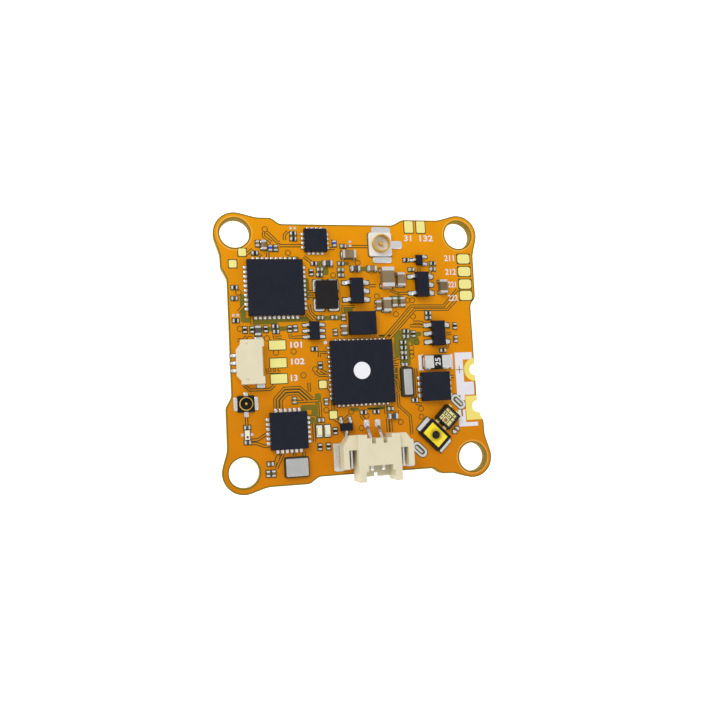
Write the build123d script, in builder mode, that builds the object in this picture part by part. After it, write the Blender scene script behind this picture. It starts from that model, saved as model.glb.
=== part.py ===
from build123d import *
import os
from math import acos, atan2, cos, hypot, radians, sin

# Flight controller board of a small 1S drone. Units are millimetres. The origin is the centre of
# the four mounting holes on the board's underside, +Z points out of the component side.

os.makedirs("parts", exist_ok=True)

# ---- driving dimensions: the board ----
board_top = 1.0
hole_pitch = 25.5
hole_radius = 1.6
lobe_radius = 2.28
pad_thickness = 0.04
notch_radius = 0.7
positive_notch = (13.75, -2.9)
negative_notch = (13.75, -7.1)
positive_pad_radius = 1.32
stake_slots = [(11.47, -6.47), (6.55, -11.55)]
stake_slot_size = (1.5, 0.7)
stake_slot_pad = (1.95, 1.02)
stake_slot_angle = -45

# ---- driving dimensions: chips ----
contact_height = 0.04
contact_width = 0.23
contact_pitch = 0.5
contact_reach = 0.3
flat_chip_height = 0.8
outline_chip_gap = 0.08
lead_thickness = 0.13

# ---- driving dimensions: connectors ----
small_socket_pitch = 0.8
small_socket_size = (2.85, 4.65, 1.4)
accessory_pitch = 1.25
accessory_height = 2.8

# ---- driving dimensions: button ----
button_place = (8.32, -10.03)
button_angle = -46
button_body = (3.05, 2.25, 0.55)
button_travel = 0.15
nub_radius = 0.38
nub_top = 0.86
film_clearance = 0.04

half_pitch = hole_pitch / 2


def turned(place, angle, height=board_top):
    # a level plane at a point of the board, with X turned by an angle about +Z
    heading = radians(angle)
    return Plane(origin=(place[0], place[1], height), x_dir=(cos(heading), sin(heading), 0), z_dir=(0, 0, 1))


def upright(place, angle, height=board_top):
    # a standing plane at a point of the board: X points along the angle, Y points up
    heading = radians(angle)
    outward = (cos(heading), sin(heading), 0)
    return Plane(origin=(place[0], place[1], height), x_dir=outward, z_dir=(sin(heading), -cos(heading), 0))


def beneath(place, angle):
    # a plane on the underside, whose Z points down, away from the board
    heading = radians(angle)
    return Plane(origin=(place[0], place[1], 0), x_dir=(cos(heading), sin(heading), 0), z_dir=(0, 0, -1))


def lobe_touch(corner, ear_point, side):
    # the point where a straight edge from an ear point meets the round corner lobe
    across = ear_point[0] - corner[0]
    along = ear_point[1] - corner[1]
    heading = atan2(along, across) + side * acos(lobe_radius / hypot(across, along))
    return (corner[0] + lobe_radius * cos(heading), corner[1] + lobe_radius * sin(heading))


# ---- board outline: four straight sides with a shallow waist, and a round lobe at each corner ----
corners = [
    (-half_pitch, half_pitch),
    (-half_pitch, -half_pitch),
    (half_pitch, -half_pitch),
    (half_pitch, half_pitch),
]
sides = [
    [(-14.4, 10.4), (-14.4, 9.1), (-13.75, 7.8), (-13.75, -4.8), (-14.4, -5.9), (-14.4, -10.4)],
    [(-10.4, -14.4), (-5.9, -14.4), (-4.9, -13.7), (8.1, -13.7), (8.9, -14.35), (10.4, -14.4)],
    [(14.4, -10.3), (14.4, -8.8), (13.75, -7.5), (13.75, 4.6), (14.4, 5.4), (14.45, 10.4)],
    [(10.4, 14.45), (6.1, 14.45), (4.9, 13.8), (-7.9, 13.8), (-8.8, 14.5), (-10.4, 14.5)],
]
waist_radii = [3, 1, 1, 1, 1, 3]


def board_outline():
    # draws the closed outline inside the BuildLine block that calls it
    for index, side in enumerate(sides):
        before = corners[index]
        after = corners[(index + 1) % 4]
        start = lobe_touch(before, side[0], -1)
        end = lobe_touch(after, side[-1], 1)
        FilletPolyline(start, *side, end, radius=waist_radii)
        next_start = lobe_touch(after, sides[(index + 1) % 4][0], -1)
        reach = lobe_radius / hypot(*after)
        tip = (after[0] + after[0] * reach, after[1] + after[1] * reach)
        ThreePointArc(end, tip, next_start)


with BuildPart() as circuit_board:
    with BuildSketch():
        with BuildLine():
            board_outline()
        make_face()
        with GridLocations(hole_pitch, hole_pitch, 2, 2):
            Circle(hole_radius, mode=Mode.SUBTRACT)
        with Locations(positive_notch, negative_notch):
            Circle(notch_radius, mode=Mode.SUBTRACT)
        with Locations(*stake_slots):
            SlotOverall(*stake_slot_size, rotation=stake_slot_angle, mode=Mode.SUBTRACT)
    extrude(amount=board_top)
circuit_board.part.label = "circuit_board"
export_step(circuit_board.part, "parts/circuit_board.step")

# ---- bare gold pads on the component side ----
camera_pads = [(-8.72, 0.55), (-8.7, -1.37), (-8.7, -3.07)]
test_pads = [(-12.03, 10.65), (-13.08, 9.4), (-3.98, -3.87), (-3.0, -7.2)]
front_pads = [(6.87, 13.65), (8.3, 13.65)]
side_pads = [(13.28, 9.95), (13.28, 8.47), (13.28, 7.0), (13.28, 5.67)]
with BuildPart() as signal_pads:
    with BuildSketch(Plane.XY.offset(board_top)):
        with Locations(*camera_pads):
            Rectangle(1.76, 0.98)
        with Locations(*test_pads):
            RectangleRounded(0.82, 0.82, 0.14)
        with Locations(*front_pads):
            RectangleRounded(1.02, 1.35, 0.12)
        with Locations(*side_pads):
            RectangleRounded(1.5, 1.08, 0.3)
    extrude(amount=pad_thickness)
signal_pads.part.label = "signal_pads"
export_step(signal_pads.part, "parts/signal_pads.step")

# ---- battery pads: a plated notch at the edge with a land above and below ----
plating = 0.05
with BuildPart() as battery_pad_positive:
    with BuildSketch(Plane.XY.offset(-pad_thickness)):
        with Locations(positive_notch):
            Circle(positive_pad_radius)
            Circle(notch_radius - plating, mode=Mode.SUBTRACT)
            with Locations((positive_pad_radius - 0.04, 0)):
                Rectangle(2 * positive_pad_radius, 4 * positive_pad_radius, mode=Mode.SUBTRACT)
    extrude(amount=board_top + 2 * pad_thickness)
    with BuildSketch():
        with Locations(positive_notch):
            Circle(2 * positive_pad_radius)
            Circle(notch_radius, mode=Mode.SUBTRACT)
    extrude(amount=board_top, mode=Mode.SUBTRACT)
battery_pad_positive.part.label = "battery_pad_positive"
export_step(battery_pad_positive.part, "parts/battery_pad_positive.step")

negative_land = [(12.35, -5.88), (13.71, -5.88), (13.71, -7.55), (14.2, -8.4), (14.2, -8.6), (12.35, -8.6)]
with BuildPart() as battery_pad_negative:
    with BuildSketch(Plane.XY.offset(-pad_thickness)):
        with BuildLine():
            Polyline(*negative_land, close=True)
        make_face()
        with Locations(negative_notch):
            Circle(notch_radius - plating, mode=Mode.SUBTRACT)
    extrude(amount=board_top + 2 * pad_thickness)
    with BuildSketch():
        with Locations(negative_notch):
            Circle(3 * positive_pad_radius)
            Circle(notch_radius, mode=Mode.SUBTRACT)
    extrude(amount=board_top, mode=Mode.SUBTRACT)
battery_pad_negative.part.label = "battery_pad_negative"
export_step(battery_pad_negative.part, "parts/battery_pad_negative.step")

# ---- plated slots that hold the USB socket's stakes ----
with BuildPart() as usb_slot_plating:
    with BuildSketch(Plane.XY.offset(-pad_thickness)):
        with Locations(*stake_slots):
            SlotOverall(*stake_slot_pad, rotation=stake_slot_angle)
    extrude(amount=board_top + 2 * pad_thickness)
    with BuildSketch():
        Rectangle(40, 40)
        with Locations(*stake_slots):
            SlotOverall(*stake_slot_size, rotation=stake_slot_angle, mode=Mode.SUBTRACT)
    extrude(amount=board_top, mode=Mode.SUBTRACT)
    with BuildSketch(Plane.XY.offset(-pad_thickness)):
        with Locations(*stake_slots):
            bore_length = stake_slot_size[0] - 2 * plating
            bore_width = stake_slot_size[1] - 2 * plating
            SlotOverall(bore_length, bore_width, rotation=stake_slot_angle)
    extrude(amount=board_top + 2 * pad_thickness, mode=Mode.SUBTRACT)
usb_slot_plating.part.label = "usb_slot_plating"
export_step(usb_slot_plating.part, "parts/usb_slot_plating.step")


# ---- flat no-lead chips: a moulded block on a row of contacts along each side ----
def moulded_block(plane, width, depth, height, edge=0.05):
    # a chip body standing on its contacts above a plane
    with BuildPart() as block:
        with BuildSketch(plane.offset(contact_height)):
            Rectangle(width, depth)
        extrude(amount=height)
        upper_face = block.faces().sort_by(SortBy.AREA)[-2:].sort_by(Axis(plane.origin, plane.z_dir))[-1]
        chamfer(upper_face.edges(), edge)
    return block


def contact_row(plane, half_width, half_depth, per_side, sides_used=(0, 90, 180, 270), reach=contact_reach):
    # flat contacts that run from under a chip's edge to just outside it
    with BuildPart() as row:
        with BuildSketch(plane):
            for angle in sides_used:
                edge = half_width if angle in (0, 180) else half_depth
                heading = radians(angle)
                for index in range(per_side):
                    along = (index - (per_side - 1) / 2) * contact_pitch
                    across_x = edge * cos(heading) - along * sin(heading)
                    across_y = edge * sin(heading) + along * cos(heading)
                    with Locations((across_x, across_y)):
                        Rectangle(2 * reach, contact_width, rotation=angle)
        extrude(amount=contact_height)
    return row


main_processor = moulded_block(turned((0.42, -2.7), 0), 6.95, 6.95, 0.74)
main_processor.part.label = "main_processor"
export_step(main_processor.part, "parts/main_processor.step")

main_processor_contacts = contact_row(turned((0.42, -2.7), 0), 3.475, 3.475, 12, reach=0.22)
main_processor_contacts.part.label = "main_processor_contacts"
export_step(main_processor_contacts.part, "parts/main_processor_contacts.step")

video_transmitter_chip = moulded_block(turned((-8.66, 6.72), 0), 6.0, 6.05, flat_chip_height)
video_transmitter_chip.part.label = "video_transmitter_chip"
export_step(video_transmitter_chip.part, "parts/video_transmitter_chip.step")

video_transmitter_contacts = contact_row(turned((-8.66, 6.72), 0), 3.0, 3.025, 10)
video_transmitter_contacts.part.label = "video_transmitter_contacts"
export_step(video_transmitter_contacts.part, "parts/video_transmitter_contacts.step")

rf_amplifier_chip = moulded_block(turned((-4.07, 11.92), 0), 2.5, 2.5, 0.72)
rf_amplifier_chip.part.label = "rf_amplifier_chip"
export_step(rf_amplifier_chip.part, "parts/rf_amplifier_chip.step")

rf_amplifier_contacts = contact_row(turned((-4.07, 11.92), 0), 1.25, 1.25, 4, reach=0.24)
rf_amplifier_contacts.part.label = "rf_amplifier_contacts"
export_step(rf_amplifier_contacts.part, "parts/rf_amplifier_contacts.step")

receiver_chip = moulded_block(turned((-7.95, -8.62), 0), 3.95, 3.95, flat_chip_height)
receiver_chip.part.label = "receiver_chip"
export_step(receiver_chip.part, "parts/receiver_chip.step")

receiver_contacts = contact_row(turned((-7.95, -8.62), 0), 1.975, 1.975, 6, reach=0.34)
receiver_contacts.part.label = "receiver_contacts"
export_step(receiver_contacts.part, "parts/receiver_contacts.step")

gyro_plane = turned((0.72, 2.68), 0, board_top - contact_height)
gyro_chip = moulded_block(gyro_plane, 3.0, 2.52, 0.8, edge=0.03)
gyro_chip.part.label = "gyro_chip"
export_step(gyro_chip.part, "parts/gyro_chip.step")

power_switch_chip = moulded_block(turned((8.75, -4.63), 0), 3.3, 3.2, 0.76)
power_switch_chip.part.label = "power_switch_chip"
export_step(power_switch_chip.part, "parts/power_switch_chip.step")

with BuildPart() as power_switch_contacts:
    with BuildSketch(turned((8.75, -4.63), 0)):
        with GridLocations(3.24, 0.65, 2, 4):
            Rectangle(0.62, 0.36)
    extrude(amount=contact_height)
power_switch_contacts.part.label = "power_switch_contacts"
export_step(power_switch_contacts.part, "parts/power_switch_contacts.step")

# ---- chips with bent leads: (place, body width, body depth, height, leads) ----
# each lead is (side, offset along the body): side 1 is +X and side -1 is -X before turning
regulators = [
    ((0.25, 6.28), [(-1, 0.95), (-1, -0.95), (1, 0.95), (1, 0), (1, -0.95)]),
    ((7.87, 6.93), [(-1, 0.95), (-1, -0.95), (1, 0.95), (1, 0), (1, -0.95)]),
    ((9.42, 1.34), [(-1, 0.95), (-1, 0), (-1, -0.95), (1, 0.95), (1, -0.95)]),
]
regulator_size = (1.5, 2.85, 1.0)
small_chips = [
    ((-4.67, 1.97), 0, (1.15, 2.05, 0.82), [(s, row * 0.65) for s in (-1, 1) for row in (-1, 0, 1)]),
    ((7.77, 9.75), 0, (0.8, 1.2, 0.62), [(-1, 0.05), (1, 0.42), (1, -0.42)]),
    ((-1.7, -8.58), 90, (0.85, 1.42, 0.7), [(1, 0.52), (1, -0.5), (-1, 0)]),
]


def bent_lead(place, angle, offset, half_body, height, width, foot_end):
    # one gull-wing lead: out of the body's side, down, and flat on its pad
    heading = radians(angle)
    foot_y = place[1] + offset * cos(heading)
    foot_x = place[0] - offset * sin(heading)
    middle = height * 0.5
    half = lead_thickness / 2
    bend = half_body + 0.24
    profile = [
        (half_body, middle + half),
        (half_body, middle - half),
        (bend - half, middle - half),
        (bend, 0),
        (foot_end, 0),
        (foot_end, lead_thickness),
        (bend + lead_thickness, lead_thickness),
        (bend + half, middle + half),
    ]
    with BuildSketch(upright((foot_x, foot_y), angle)) as section:
        with BuildLine():
            Polyline(*profile, close=True)
        make_face()
    extrude(section.sketch, amount=width / 2, both=True)


def lead_angle(side, turn):
    return turn if side > 0 else turn + 180


def outline_body(place, turn, size):
    # a moulded body whose sides draw in above and below its leads
    width, depth, height = size
    with BuildSketch(turned(place, turn, board_top + outline_chip_gap)) as bottom:
        Rectangle(width - 0.1, depth - 0.1)
    with BuildSketch(turned(place, turn, board_top + height * 0.5)) as waist:
        Rectangle(width, depth)
    with BuildSketch(turned(place, turn, board_top + height)) as top:
        Rectangle(width - 0.14, depth - 0.14)
    loft([bottom.sketch, waist.sketch], ruled=True)
    loft([waist.sketch, top.sketch], ruled=True)


with BuildPart() as regulator_chips:
    for place, leads in regulators:
        outline_body(place, 0, regulator_size)
regulator_chips.part.label = "regulator_chips"
export_step(regulator_chips.part, "parts/regulator_chips.step")

with BuildPart() as small_chip_bodies:
    for place, turn, size, leads in small_chips:
        outline_body(place, turn, size)
small_chip_bodies.part.label = "small_chip_bodies"
export_step(small_chip_bodies.part, "parts/small_chip_bodies.step")

with BuildPart() as bent_leads:
    for place, leads in regulators:
        for side, offset in leads:
            angle = lead_angle(side, 0)
            bent_lead(place, angle, offset * side, regulator_size[0] / 2, regulator_size[2], 0.38, 1.5)
    for place, turn, size, leads in small_chips:
        for side, offset in leads:
            angle = lead_angle(side, turn)
            bent_lead(place, angle, offset * side, size[0] / 2, size[2], 0.24, size[0] / 2 + 0.62)
bent_leads.part.label = "bent_leads"
export_step(bent_leads.part, "parts/bent_leads.step")

# ---- crystals ----
transmitter_crystal_place = (-3.14, 5.88)
with BuildPart() as transmitter_crystal:
    with BuildSketch(turned(transmitter_crystal_place, 0, board_top + contact_height)):
        RectangleRounded(2.45, 3.1, 0.12)
    extrude(amount=0.72)
    fillet(transmitter_crystal.faces().sort_by(Axis.Z)[-1].edges(), 0.05)
transmitter_crystal.part.label = "transmitter_crystal"
export_step(transmitter_crystal.part, "parts/transmitter_crystal.step")

with BuildPart() as transmitter_crystal_pads:
    with BuildSketch(turned(transmitter_crystal_place, 0)):
        with GridLocations(1.62, 2.08, 2, 2):
            Rectangle(1.1, 1.3)
    extrude(amount=contact_height)
transmitter_crystal_pads.part.label = "transmitter_crystal_pads"
export_step(transmitter_crystal_pads.part, "parts/transmitter_crystal_pads.step")


def crystal_base(place, width, depth, height, brim):
    # the ceramic tray of a metal-lid crystal
    with BuildPart() as tray:
        with BuildSketch(turned(place, 0)):
            RectangleRounded(width + 2 * brim, depth + 2 * brim, 0.1)
        extrude(amount=height)
    return tray


def crystal_lid(place, width, depth, base_height, lid_height):
    # a shallow welded metal lid with a rounded top edge
    with BuildPart() as lid:
        with BuildSketch(turned(place, 0, board_top + base_height)):
            RectangleRounded(width, depth, 0.18)
        extrude(amount=lid_height)
        fillet(lid.faces().sort_by(Axis.Z)[-1].edges(), lid_height * 0.6)
    return lid


receiver_crystal_base = crystal_base((-7.25, -12.5), 2.38, 1.9, 0.42, 0.06)
receiver_crystal_base.part.label = "receiver_crystal_base"
export_step(receiver_crystal_base.part, "parts/receiver_crystal_base.step")

receiver_crystal_lid = crystal_lid((-7.25, -12.5), 2.38, 1.9, 0.42, 0.2)
receiver_crystal_lid.part.label = "receiver_crystal_lid"
export_step(receiver_crystal_lid.part, "parts/receiver_crystal_lid.step")

processor_crystal_base = crystal_base((5.55, -4.0), 1.3, 3.06, 0.36, 0.04)
processor_crystal_base.part.label = "processor_crystal_base"
export_step(processor_crystal_base.part, "parts/processor_crystal_base.step")

processor_crystal_lid = crystal_lid((5.55, -4.0), 1.0, 2.9, 0.36, 0.22)
processor_crystal_lid.part.label = "processor_crystal_lid"
export_step(processor_crystal_lid.part, "parts/processor_crystal_lid.step")

# ---- current shunt ----
shunt_place = (9.17, -1.88)
with BuildPart() as current_shunt:
    with BuildSketch(turned(shunt_place, 0)):
        Rectangle(0.96, 1.46)
    extrude(amount=0.6)
    fillet(current_shunt.edges().filter_by(Axis.X).group_by(Axis.Z)[-1], 0.08)
current_shunt.part.label = "current_shunt"
export_step(current_shunt.part, "parts/current_shunt.step")

with BuildPart() as current_shunt_terminals:
    with BuildSketch(turned(shunt_place, 0)):
        with Locations((-1.015, 0), (1.015, 0)):
            Rectangle(1.07, 1.46)
    extrude(amount=0.66)
    fillet(current_shunt_terminals.edges().group_by(Axis.Z)[-1], 0.09)
current_shunt_terminals.part.label = "current_shunt_terminals"
export_step(current_shunt_terminals.part, "parts/current_shunt_terminals.step")


# ---- three-way side-entry sockets: the camera's on top and the motors' beneath ----
socket_floor = 0.3
dimple_depth = 0.08


def small_socket_housing(plane):
    # the mouth faces the plane's +X
    depth, width, height = small_socket_size
    with BuildSketch(plane) as footprint:
        with BuildLine():
            Polyline(
                (depth / 2, width / 2),
                (-depth / 2 + 0.45, width / 2),
                (-depth / 2 + 0.45, width / 2 - 0.4),
                (-depth / 2, width / 2 - 0.95),
                (-depth / 2, -width / 2 + 0.95),
                (-depth / 2 + 0.45, -width / 2 + 0.4),
                (-depth / 2 + 0.45, -width / 2),
                (depth / 2, -width / 2),
                close=True,
            )
        make_face()
    extrude(footprint.sketch, amount=height)
    with BuildSketch(plane.offset(socket_floor)) as mouth:
        with Locations((0.55, 0)):
            Rectangle(depth, width - 0.9)
    extrude(mouth.sketch, amount=height - 2 * socket_floor, mode=Mode.SUBTRACT)
    with BuildSketch(plane.offset(height - socket_floor)) as roof_step:
        with Locations((depth / 2, 0)):
            Rectangle(0.4, width - 1.5)
    extrude(roof_step.sketch, amount=socket_floor, mode=Mode.SUBTRACT)
    with BuildSketch(plane.offset(height - dimple_depth)) as dimples:
        with Locations((-depth / 2 + 1.1, 1.88), (-depth / 2 + 1.1, -1.88)):
            Circle(0.12)
    extrude(dimples.sketch, amount=dimple_depth, mode=Mode.SUBTRACT)
    with BuildSketch(plane.offset(socket_floor)) as passages:
        with Locations((-depth / 2, 0)):
            with GridLocations(1, small_socket_pitch, 1, 3):
                Rectangle(1.9, 0.3)
    extrude(passages.sketch, amount=0.3, mode=Mode.SUBTRACT)


def small_socket_metalwork(place, angle, side):
    # three contacts that run from a foot behind the housing into its mouth, and two hold-down tabs
    depth, width, height = small_socket_size
    heading = radians(angle)
    surface = board_top if side > 0 else 0
    for index in (-1, 0, 1):
        shift = index * small_socket_pitch
        foot_x = place[0] - shift * sin(heading)
        foot_y = place[1] + shift * cos(heading)
        profile = [
            (-depth / 2 - 0.55, 0),
            (-depth / 2 - 0.28, 0),
            (-depth / 2 - 0.06, 0.36 * side),
            (depth / 2 - 0.7, 0.36 * side),
            (depth / 2 - 0.7, 0.5 * side),
            (-depth / 2 - 0.14, 0.5 * side),
            (-depth / 2 - 0.36, 0.14 * side),
            (-depth / 2 - 0.55, 0.14 * side),
        ]
        with BuildSketch(upright((foot_x, foot_y), angle, surface)) as section:
            with BuildLine():
                Polyline(*profile, close=True)
            make_face()
        extrude(section.sketch, amount=0.11, both=True)
    with BuildSketch(turned(place, angle, surface)) as tabs:
        with Locations((depth / 2 - 0.35, width / 2 + 0.16), (depth / 2 - 0.35, -width / 2 - 0.16)):
            Rectangle(0.7, 0.3)
    extrude(tabs.sketch, amount=0.14 * side)


camera_socket_place = (-11.73, -1.25)
with BuildPart() as camera_socket_housing:
    small_socket_housing(turned(camera_socket_place, 0))
camera_socket_housing.part.label = "camera_socket_housing"
export_step(camera_socket_housing.part, "parts/camera_socket_housing.step")

with BuildPart() as camera_socket_contacts:
    small_socket_metalwork(camera_socket_place, 0, 1)
camera_socket_contacts.part.label = "camera_socket_contacts"
export_step(camera_socket_contacts.part, "parts/camera_socket_contacts.step")

# ---- two-way side-entry accessory socket on the rear edge, its mouth facing -Y ----
accessory_centre = 1.27
arm_outer = 2.35
mouth_half = 1.62
socket_rear = -9.5
ear_front = -13.0
roof_front = -13.35
floor_front = -14.05
arm_front = -14.45
accessory_pin_places = [accessory_centre - accessory_pitch / 2, accessory_centre + accessory_pitch / 2]

with BuildPart() as accessory_socket_housing:
    with BuildSketch(turned((accessory_centre, 0), 0)):
        with BuildLine():
            Polyline(
                (-3.1, socket_rear),
                (3.1, socket_rear),
                (3.85, socket_rear - 1.1),
                (3.85, ear_front),
                (-3.85, ear_front),
                (-3.85, socket_rear - 1.1),
                close=True,
            )
        make_face()
    extrude(amount=accessory_height - 0.5)
    with BuildSketch(turned((accessory_centre, 0), 0)):
        with Locations((0, (socket_rear + arm_front) / 2)):
            Rectangle(2 * arm_outer, socket_rear - arm_front)
    extrude(amount=accessory_height)
    chamfer(accessory_socket_housing.edges().filter_by(Axis.Y).group_by(Axis.Z)[-1], 0.12)
    # windows in the ears that the solder nails stand in
    with BuildSketch(turned((accessory_centre, 0), 0)):
        with Locations((-2.82, -12.1), (2.82, -12.1)):
            Rectangle(0.86, 2.1)
    extrude(amount=accessory_height, mode=Mode.SUBTRACT)
    # the mouth, and the step back of its roof, floor and rear wall
    with BuildSketch(turned((accessory_centre, 0), 0, board_top + 0.5)):
        with Locations((0, (arm_front - 11.1) / 2)):
            Rectangle(2 * mouth_half, -11.1 - arm_front)
    extrude(amount=accessory_height - 1.0, mode=Mode.SUBTRACT)
    with BuildSketch(turned((accessory_centre, 0), 0, board_top + accessory_height - 0.5)):
        with Locations((0, (arm_front + roof_front) / 2)):
            Rectangle(2 * mouth_half, roof_front - arm_front)
        with Locations((0, (arm_front - 12.75) / 2)):
            Rectangle(2.7, -12.75 - arm_front)
    extrude(amount=0.5, mode=Mode.SUBTRACT)
    with BuildSketch(turned((accessory_centre, 0), 0)):
        with Locations((0, (arm_front + floor_front) / 2)):
            Rectangle(2 * mouth_half, floor_front - arm_front)
        with Locations((0, -13.9)):
            Rectangle(0.45, 0.5)
    extrude(amount=0.5, mode=Mode.SUBTRACT)
    with BuildSketch(turned((accessory_centre, 0), 0)):
        with Locations((0, socket_rear - 0.2)):
            Rectangle(2.7, 0.4)
    extrude(amount=accessory_height, mode=Mode.SUBTRACT)
    # slots in the rear wall that the two contacts pass through, open at the top behind the roof
    with BuildSketch(turned((0, 0), 0, board_top)):
        with Locations(*[(x, -10.6) for x in accessory_pin_places]):
            Rectangle(0.36, 1.4)
    extrude(amount=1.75, mode=Mode.SUBTRACT)
    with BuildSketch(turned((0, 0), 0, board_top)):
        with Locations(*[(x, -10.1) for x in accessory_pin_places]):
            Rectangle(0.42, 0.7)
    extrude(amount=accessory_height, mode=Mode.SUBTRACT)
accessory_socket_housing.part.label = "accessory_socket_housing"
export_step(accessory_socket_housing.part, "parts/accessory_socket_housing.step")

with BuildPart() as accessory_socket_contacts:
    for x in accessory_pin_places:
        profile = [
            (8.05, 0),
            (8.75, 0),
            (9.95, 1.2),
            (13.2, 1.2),
            (13.35, 1.3),
            (13.2, 1.46),
            (9.8, 1.46),
            (8.6, 0.22),
            (8.05, 0.22),
        ]
        with BuildSketch(upright((x, 0), -90)):
            with BuildLine():
                Polyline(*profile, close=True)
            make_face()
        extrude(amount=0.15, both=True)
accessory_socket_contacts.part.label = "accessory_socket_contacts"
export_step(accessory_socket_contacts.part, "parts/accessory_socket_contacts.step")

with BuildPart() as accessory_socket_nails:
    for side in (-1, 1):
        with BuildSketch(turned((accessory_centre + side * 4.2, 0), 0)):
            with Locations((0, -11.75)):
                Rectangle(0.62, 2.9)
        extrude(amount=0.2)
        with BuildSketch(turned((accessory_centre + side * 2.82, 0), 0)):
            with Locations((side * 0.05, -12.05)):
                Rectangle(0.2, 1.9)
        extrude(amount=1.7)
        with BuildSketch(turned((accessory_centre + side * 3.5, 0), 0)):
            with Locations((0, -13.1)):
                Rectangle(1.6, 0.18)
        extrude(amount=0.2)
accessory_socket_nails.part.label = "accessory_socket_nails"
export_step(accessory_socket_nails.part, "parts/accessory_socket_nails.step")


# ---- coaxial antenna connectors: a moulded base, a turned shell with ground tabs, and a pin ----
def antenna_base(place, width, depth, height):
    with BuildPart() as base:
        with BuildSketch(turned(place, 0)):
            Rectangle(width, depth)
        extrude(amount=height + contact_height)
        chamfer(base.edges().filter_by(Axis.Z), 0.12)
    return base


def antenna_shell(place, ring_radius, wall, base_height, ring_height, tabs):
    # each tab is (x, y, width, depth) beside the base
    with BuildPart() as shell:
        with BuildSketch(upright(place, 0, board_top + contact_height + base_height)):
            with BuildLine():
                Polyline(
                    (ring_radius - wall, 0),
                    (ring_radius, 0),
                    (ring_radius, ring_height * 0.35),
                    (ring_radius - 0.35 * wall, ring_height * 0.45),
                    (ring_radius, ring_height * 0.6),
                    (ring_radius, ring_height - 0.04),
                    (ring_radius - 0.04, ring_height),
                    (ring_radius - wall, ring_height),
                    close=True,
                )
            make_face()
        revolve(axis=Axis((place[0], place[1], 0), (0, 0, 1)))
        with BuildSketch(turned(place, 0)):
            for x, y, width, depth in tabs:
                with Locations((x, y)):
                    Rectangle(width, depth)
        extrude(amount=0.12)
    return shell


def antenna_pin(place, radius, base_height, pin_height, tongue):
    with BuildPart() as pin:
        with BuildSketch(turned(place, 0, board_top + contact_height + base_height)):
            Circle(radius)
        extrude(amount=pin_height)
        fillet(pin.faces().sort_by(Axis.Z)[-1].edges(), radius * 0.5)
        x, y, width, depth = tongue
        with BuildSketch(turned(place, 0)):
            with Locations((x, y)):
                Rectangle(width, depth)
        extrude(amount=0.12)
    return pin


video_antenna_place = (3.3, 11.53)
video_antenna_base = antenna_base(video_antenna_place, 2.6, 2.66, 0.32)
video_antenna_base.part.label = "video_antenna_base"
export_step(video_antenna_base.part, "parts/video_antenna_base.step")

video_antenna_shell = antenna_shell(
    video_antenna_place, 1.0, 0.14, 0.32, 0.8, [(0.2, 1.67, 2.1, 0.62), (0.2, -1.72, 2.1, 0.62)]
)
video_antenna_shell.part.label = "video_antenna_shell"
export_step(video_antenna_shell.part, "parts/video_antenna_shell.step")

video_antenna_pin = antenna_pin(video_antenna_place, 0.24, 0.32, 0.5, (1.95, 0, 1.2, 0.8))
video_antenna_pin.part.label = "video_antenna_pin"
export_step(video_antenna_pin.part, "parts/video_antenna_pin.step")

receiver_antenna_place = (-12.3, -5.58)
receiver_antenna_base = antenna_base(receiver_antenna_place, 1.74, 1.6, 0.18)
receiver_antenna_base.part.label = "receiver_antenna_base"
export_step(receiver_antenna_base.part, "parts/receiver_antenna_base.step")

receiver_antenna_shell = antenna_shell(
    receiver_antenna_place, 0.72, 0.1, 0.18, 0.46,
    [(-1.07, 0, 0.36, 1.3), (1.07, 0, 0.36, 1.3), (0, 1.0, 0.36, 0.36)],
)
receiver_antenna_shell.part.label = "receiver_antenna_shell"
export_step(receiver_antenna_shell.part, "parts/receiver_antenna_shell.step")

receiver_antenna_pin = antenna_pin(receiver_antenna_place, 0.15, 0.18, 0.32, (0, -1.0, 0.36, 0.36))
receiver_antenna_pin.part.label = "receiver_antenna_pin"
export_step(receiver_antenna_pin.part, "parts/receiver_antenna_pin.step")

# ---- boot button: a moulded tray, a snap dome, a nub with a flange, a cover film, two terminals ----
button_floor = 0.12
pocket = (2.1, 1.42)
film_thickness = 0.03
with BuildPart() as button_housing:
    with BuildSketch(turned(button_place, button_angle)):
        RectangleRounded(button_body[0], button_body[1], 0.12)
    extrude(amount=button_body[2])
    with BuildSketch(turned(button_place, button_angle, board_top + button_floor)):
        RectangleRounded(*pocket, 0.3)
    extrude(amount=button_body[2], mode=Mode.SUBTRACT)
button_housing.part.label = "button_housing"
export_step(button_housing.part, "parts/button_housing.step")

with BuildPart() as button_terminals:
    for end in (-1, 1):
        with BuildSketch(turned(button_place, button_angle)):
            with Locations((end * (button_body[0] / 2 + 0.21), 0)):
                Rectangle(0.4, 1.78)
        extrude(amount=0.14)
        with BuildSketch(turned(button_place, button_angle)):
            with Locations((end * (button_body[0] / 2 + 0.06), 0)):
                Rectangle(0.1, 1.78)
        extrude(amount=0.38)
button_terminals.part.label = "button_terminals"
export_step(button_terminals.part, "parts/button_terminals.step")

dome_radius = 0.62
dome_rise = 0.24
dome_sheet = 0.03
dome_curve = (dome_radius**2 + dome_rise**2) / (2 * dome_rise)
with BuildPart() as button_dome:
    with BuildSketch(upright(button_place, 0, board_top + button_floor)):
        with Locations((0, dome_rise - dome_curve)):
            Circle(dome_curve)
            Circle(dome_curve - dome_sheet, mode=Mode.SUBTRACT)
        with Locations((dome_radius / 2, dome_rise / 2 + 0.005)):
            Rectangle(dome_radius, dome_rise, mode=Mode.INTERSECT)
    revolve(axis=Axis((button_place[0], button_place[1], 0), (0, 0, 1)))
button_dome.part.label = "button_dome"
export_step(button_dome.part, "parts/button_dome.step")

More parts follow.
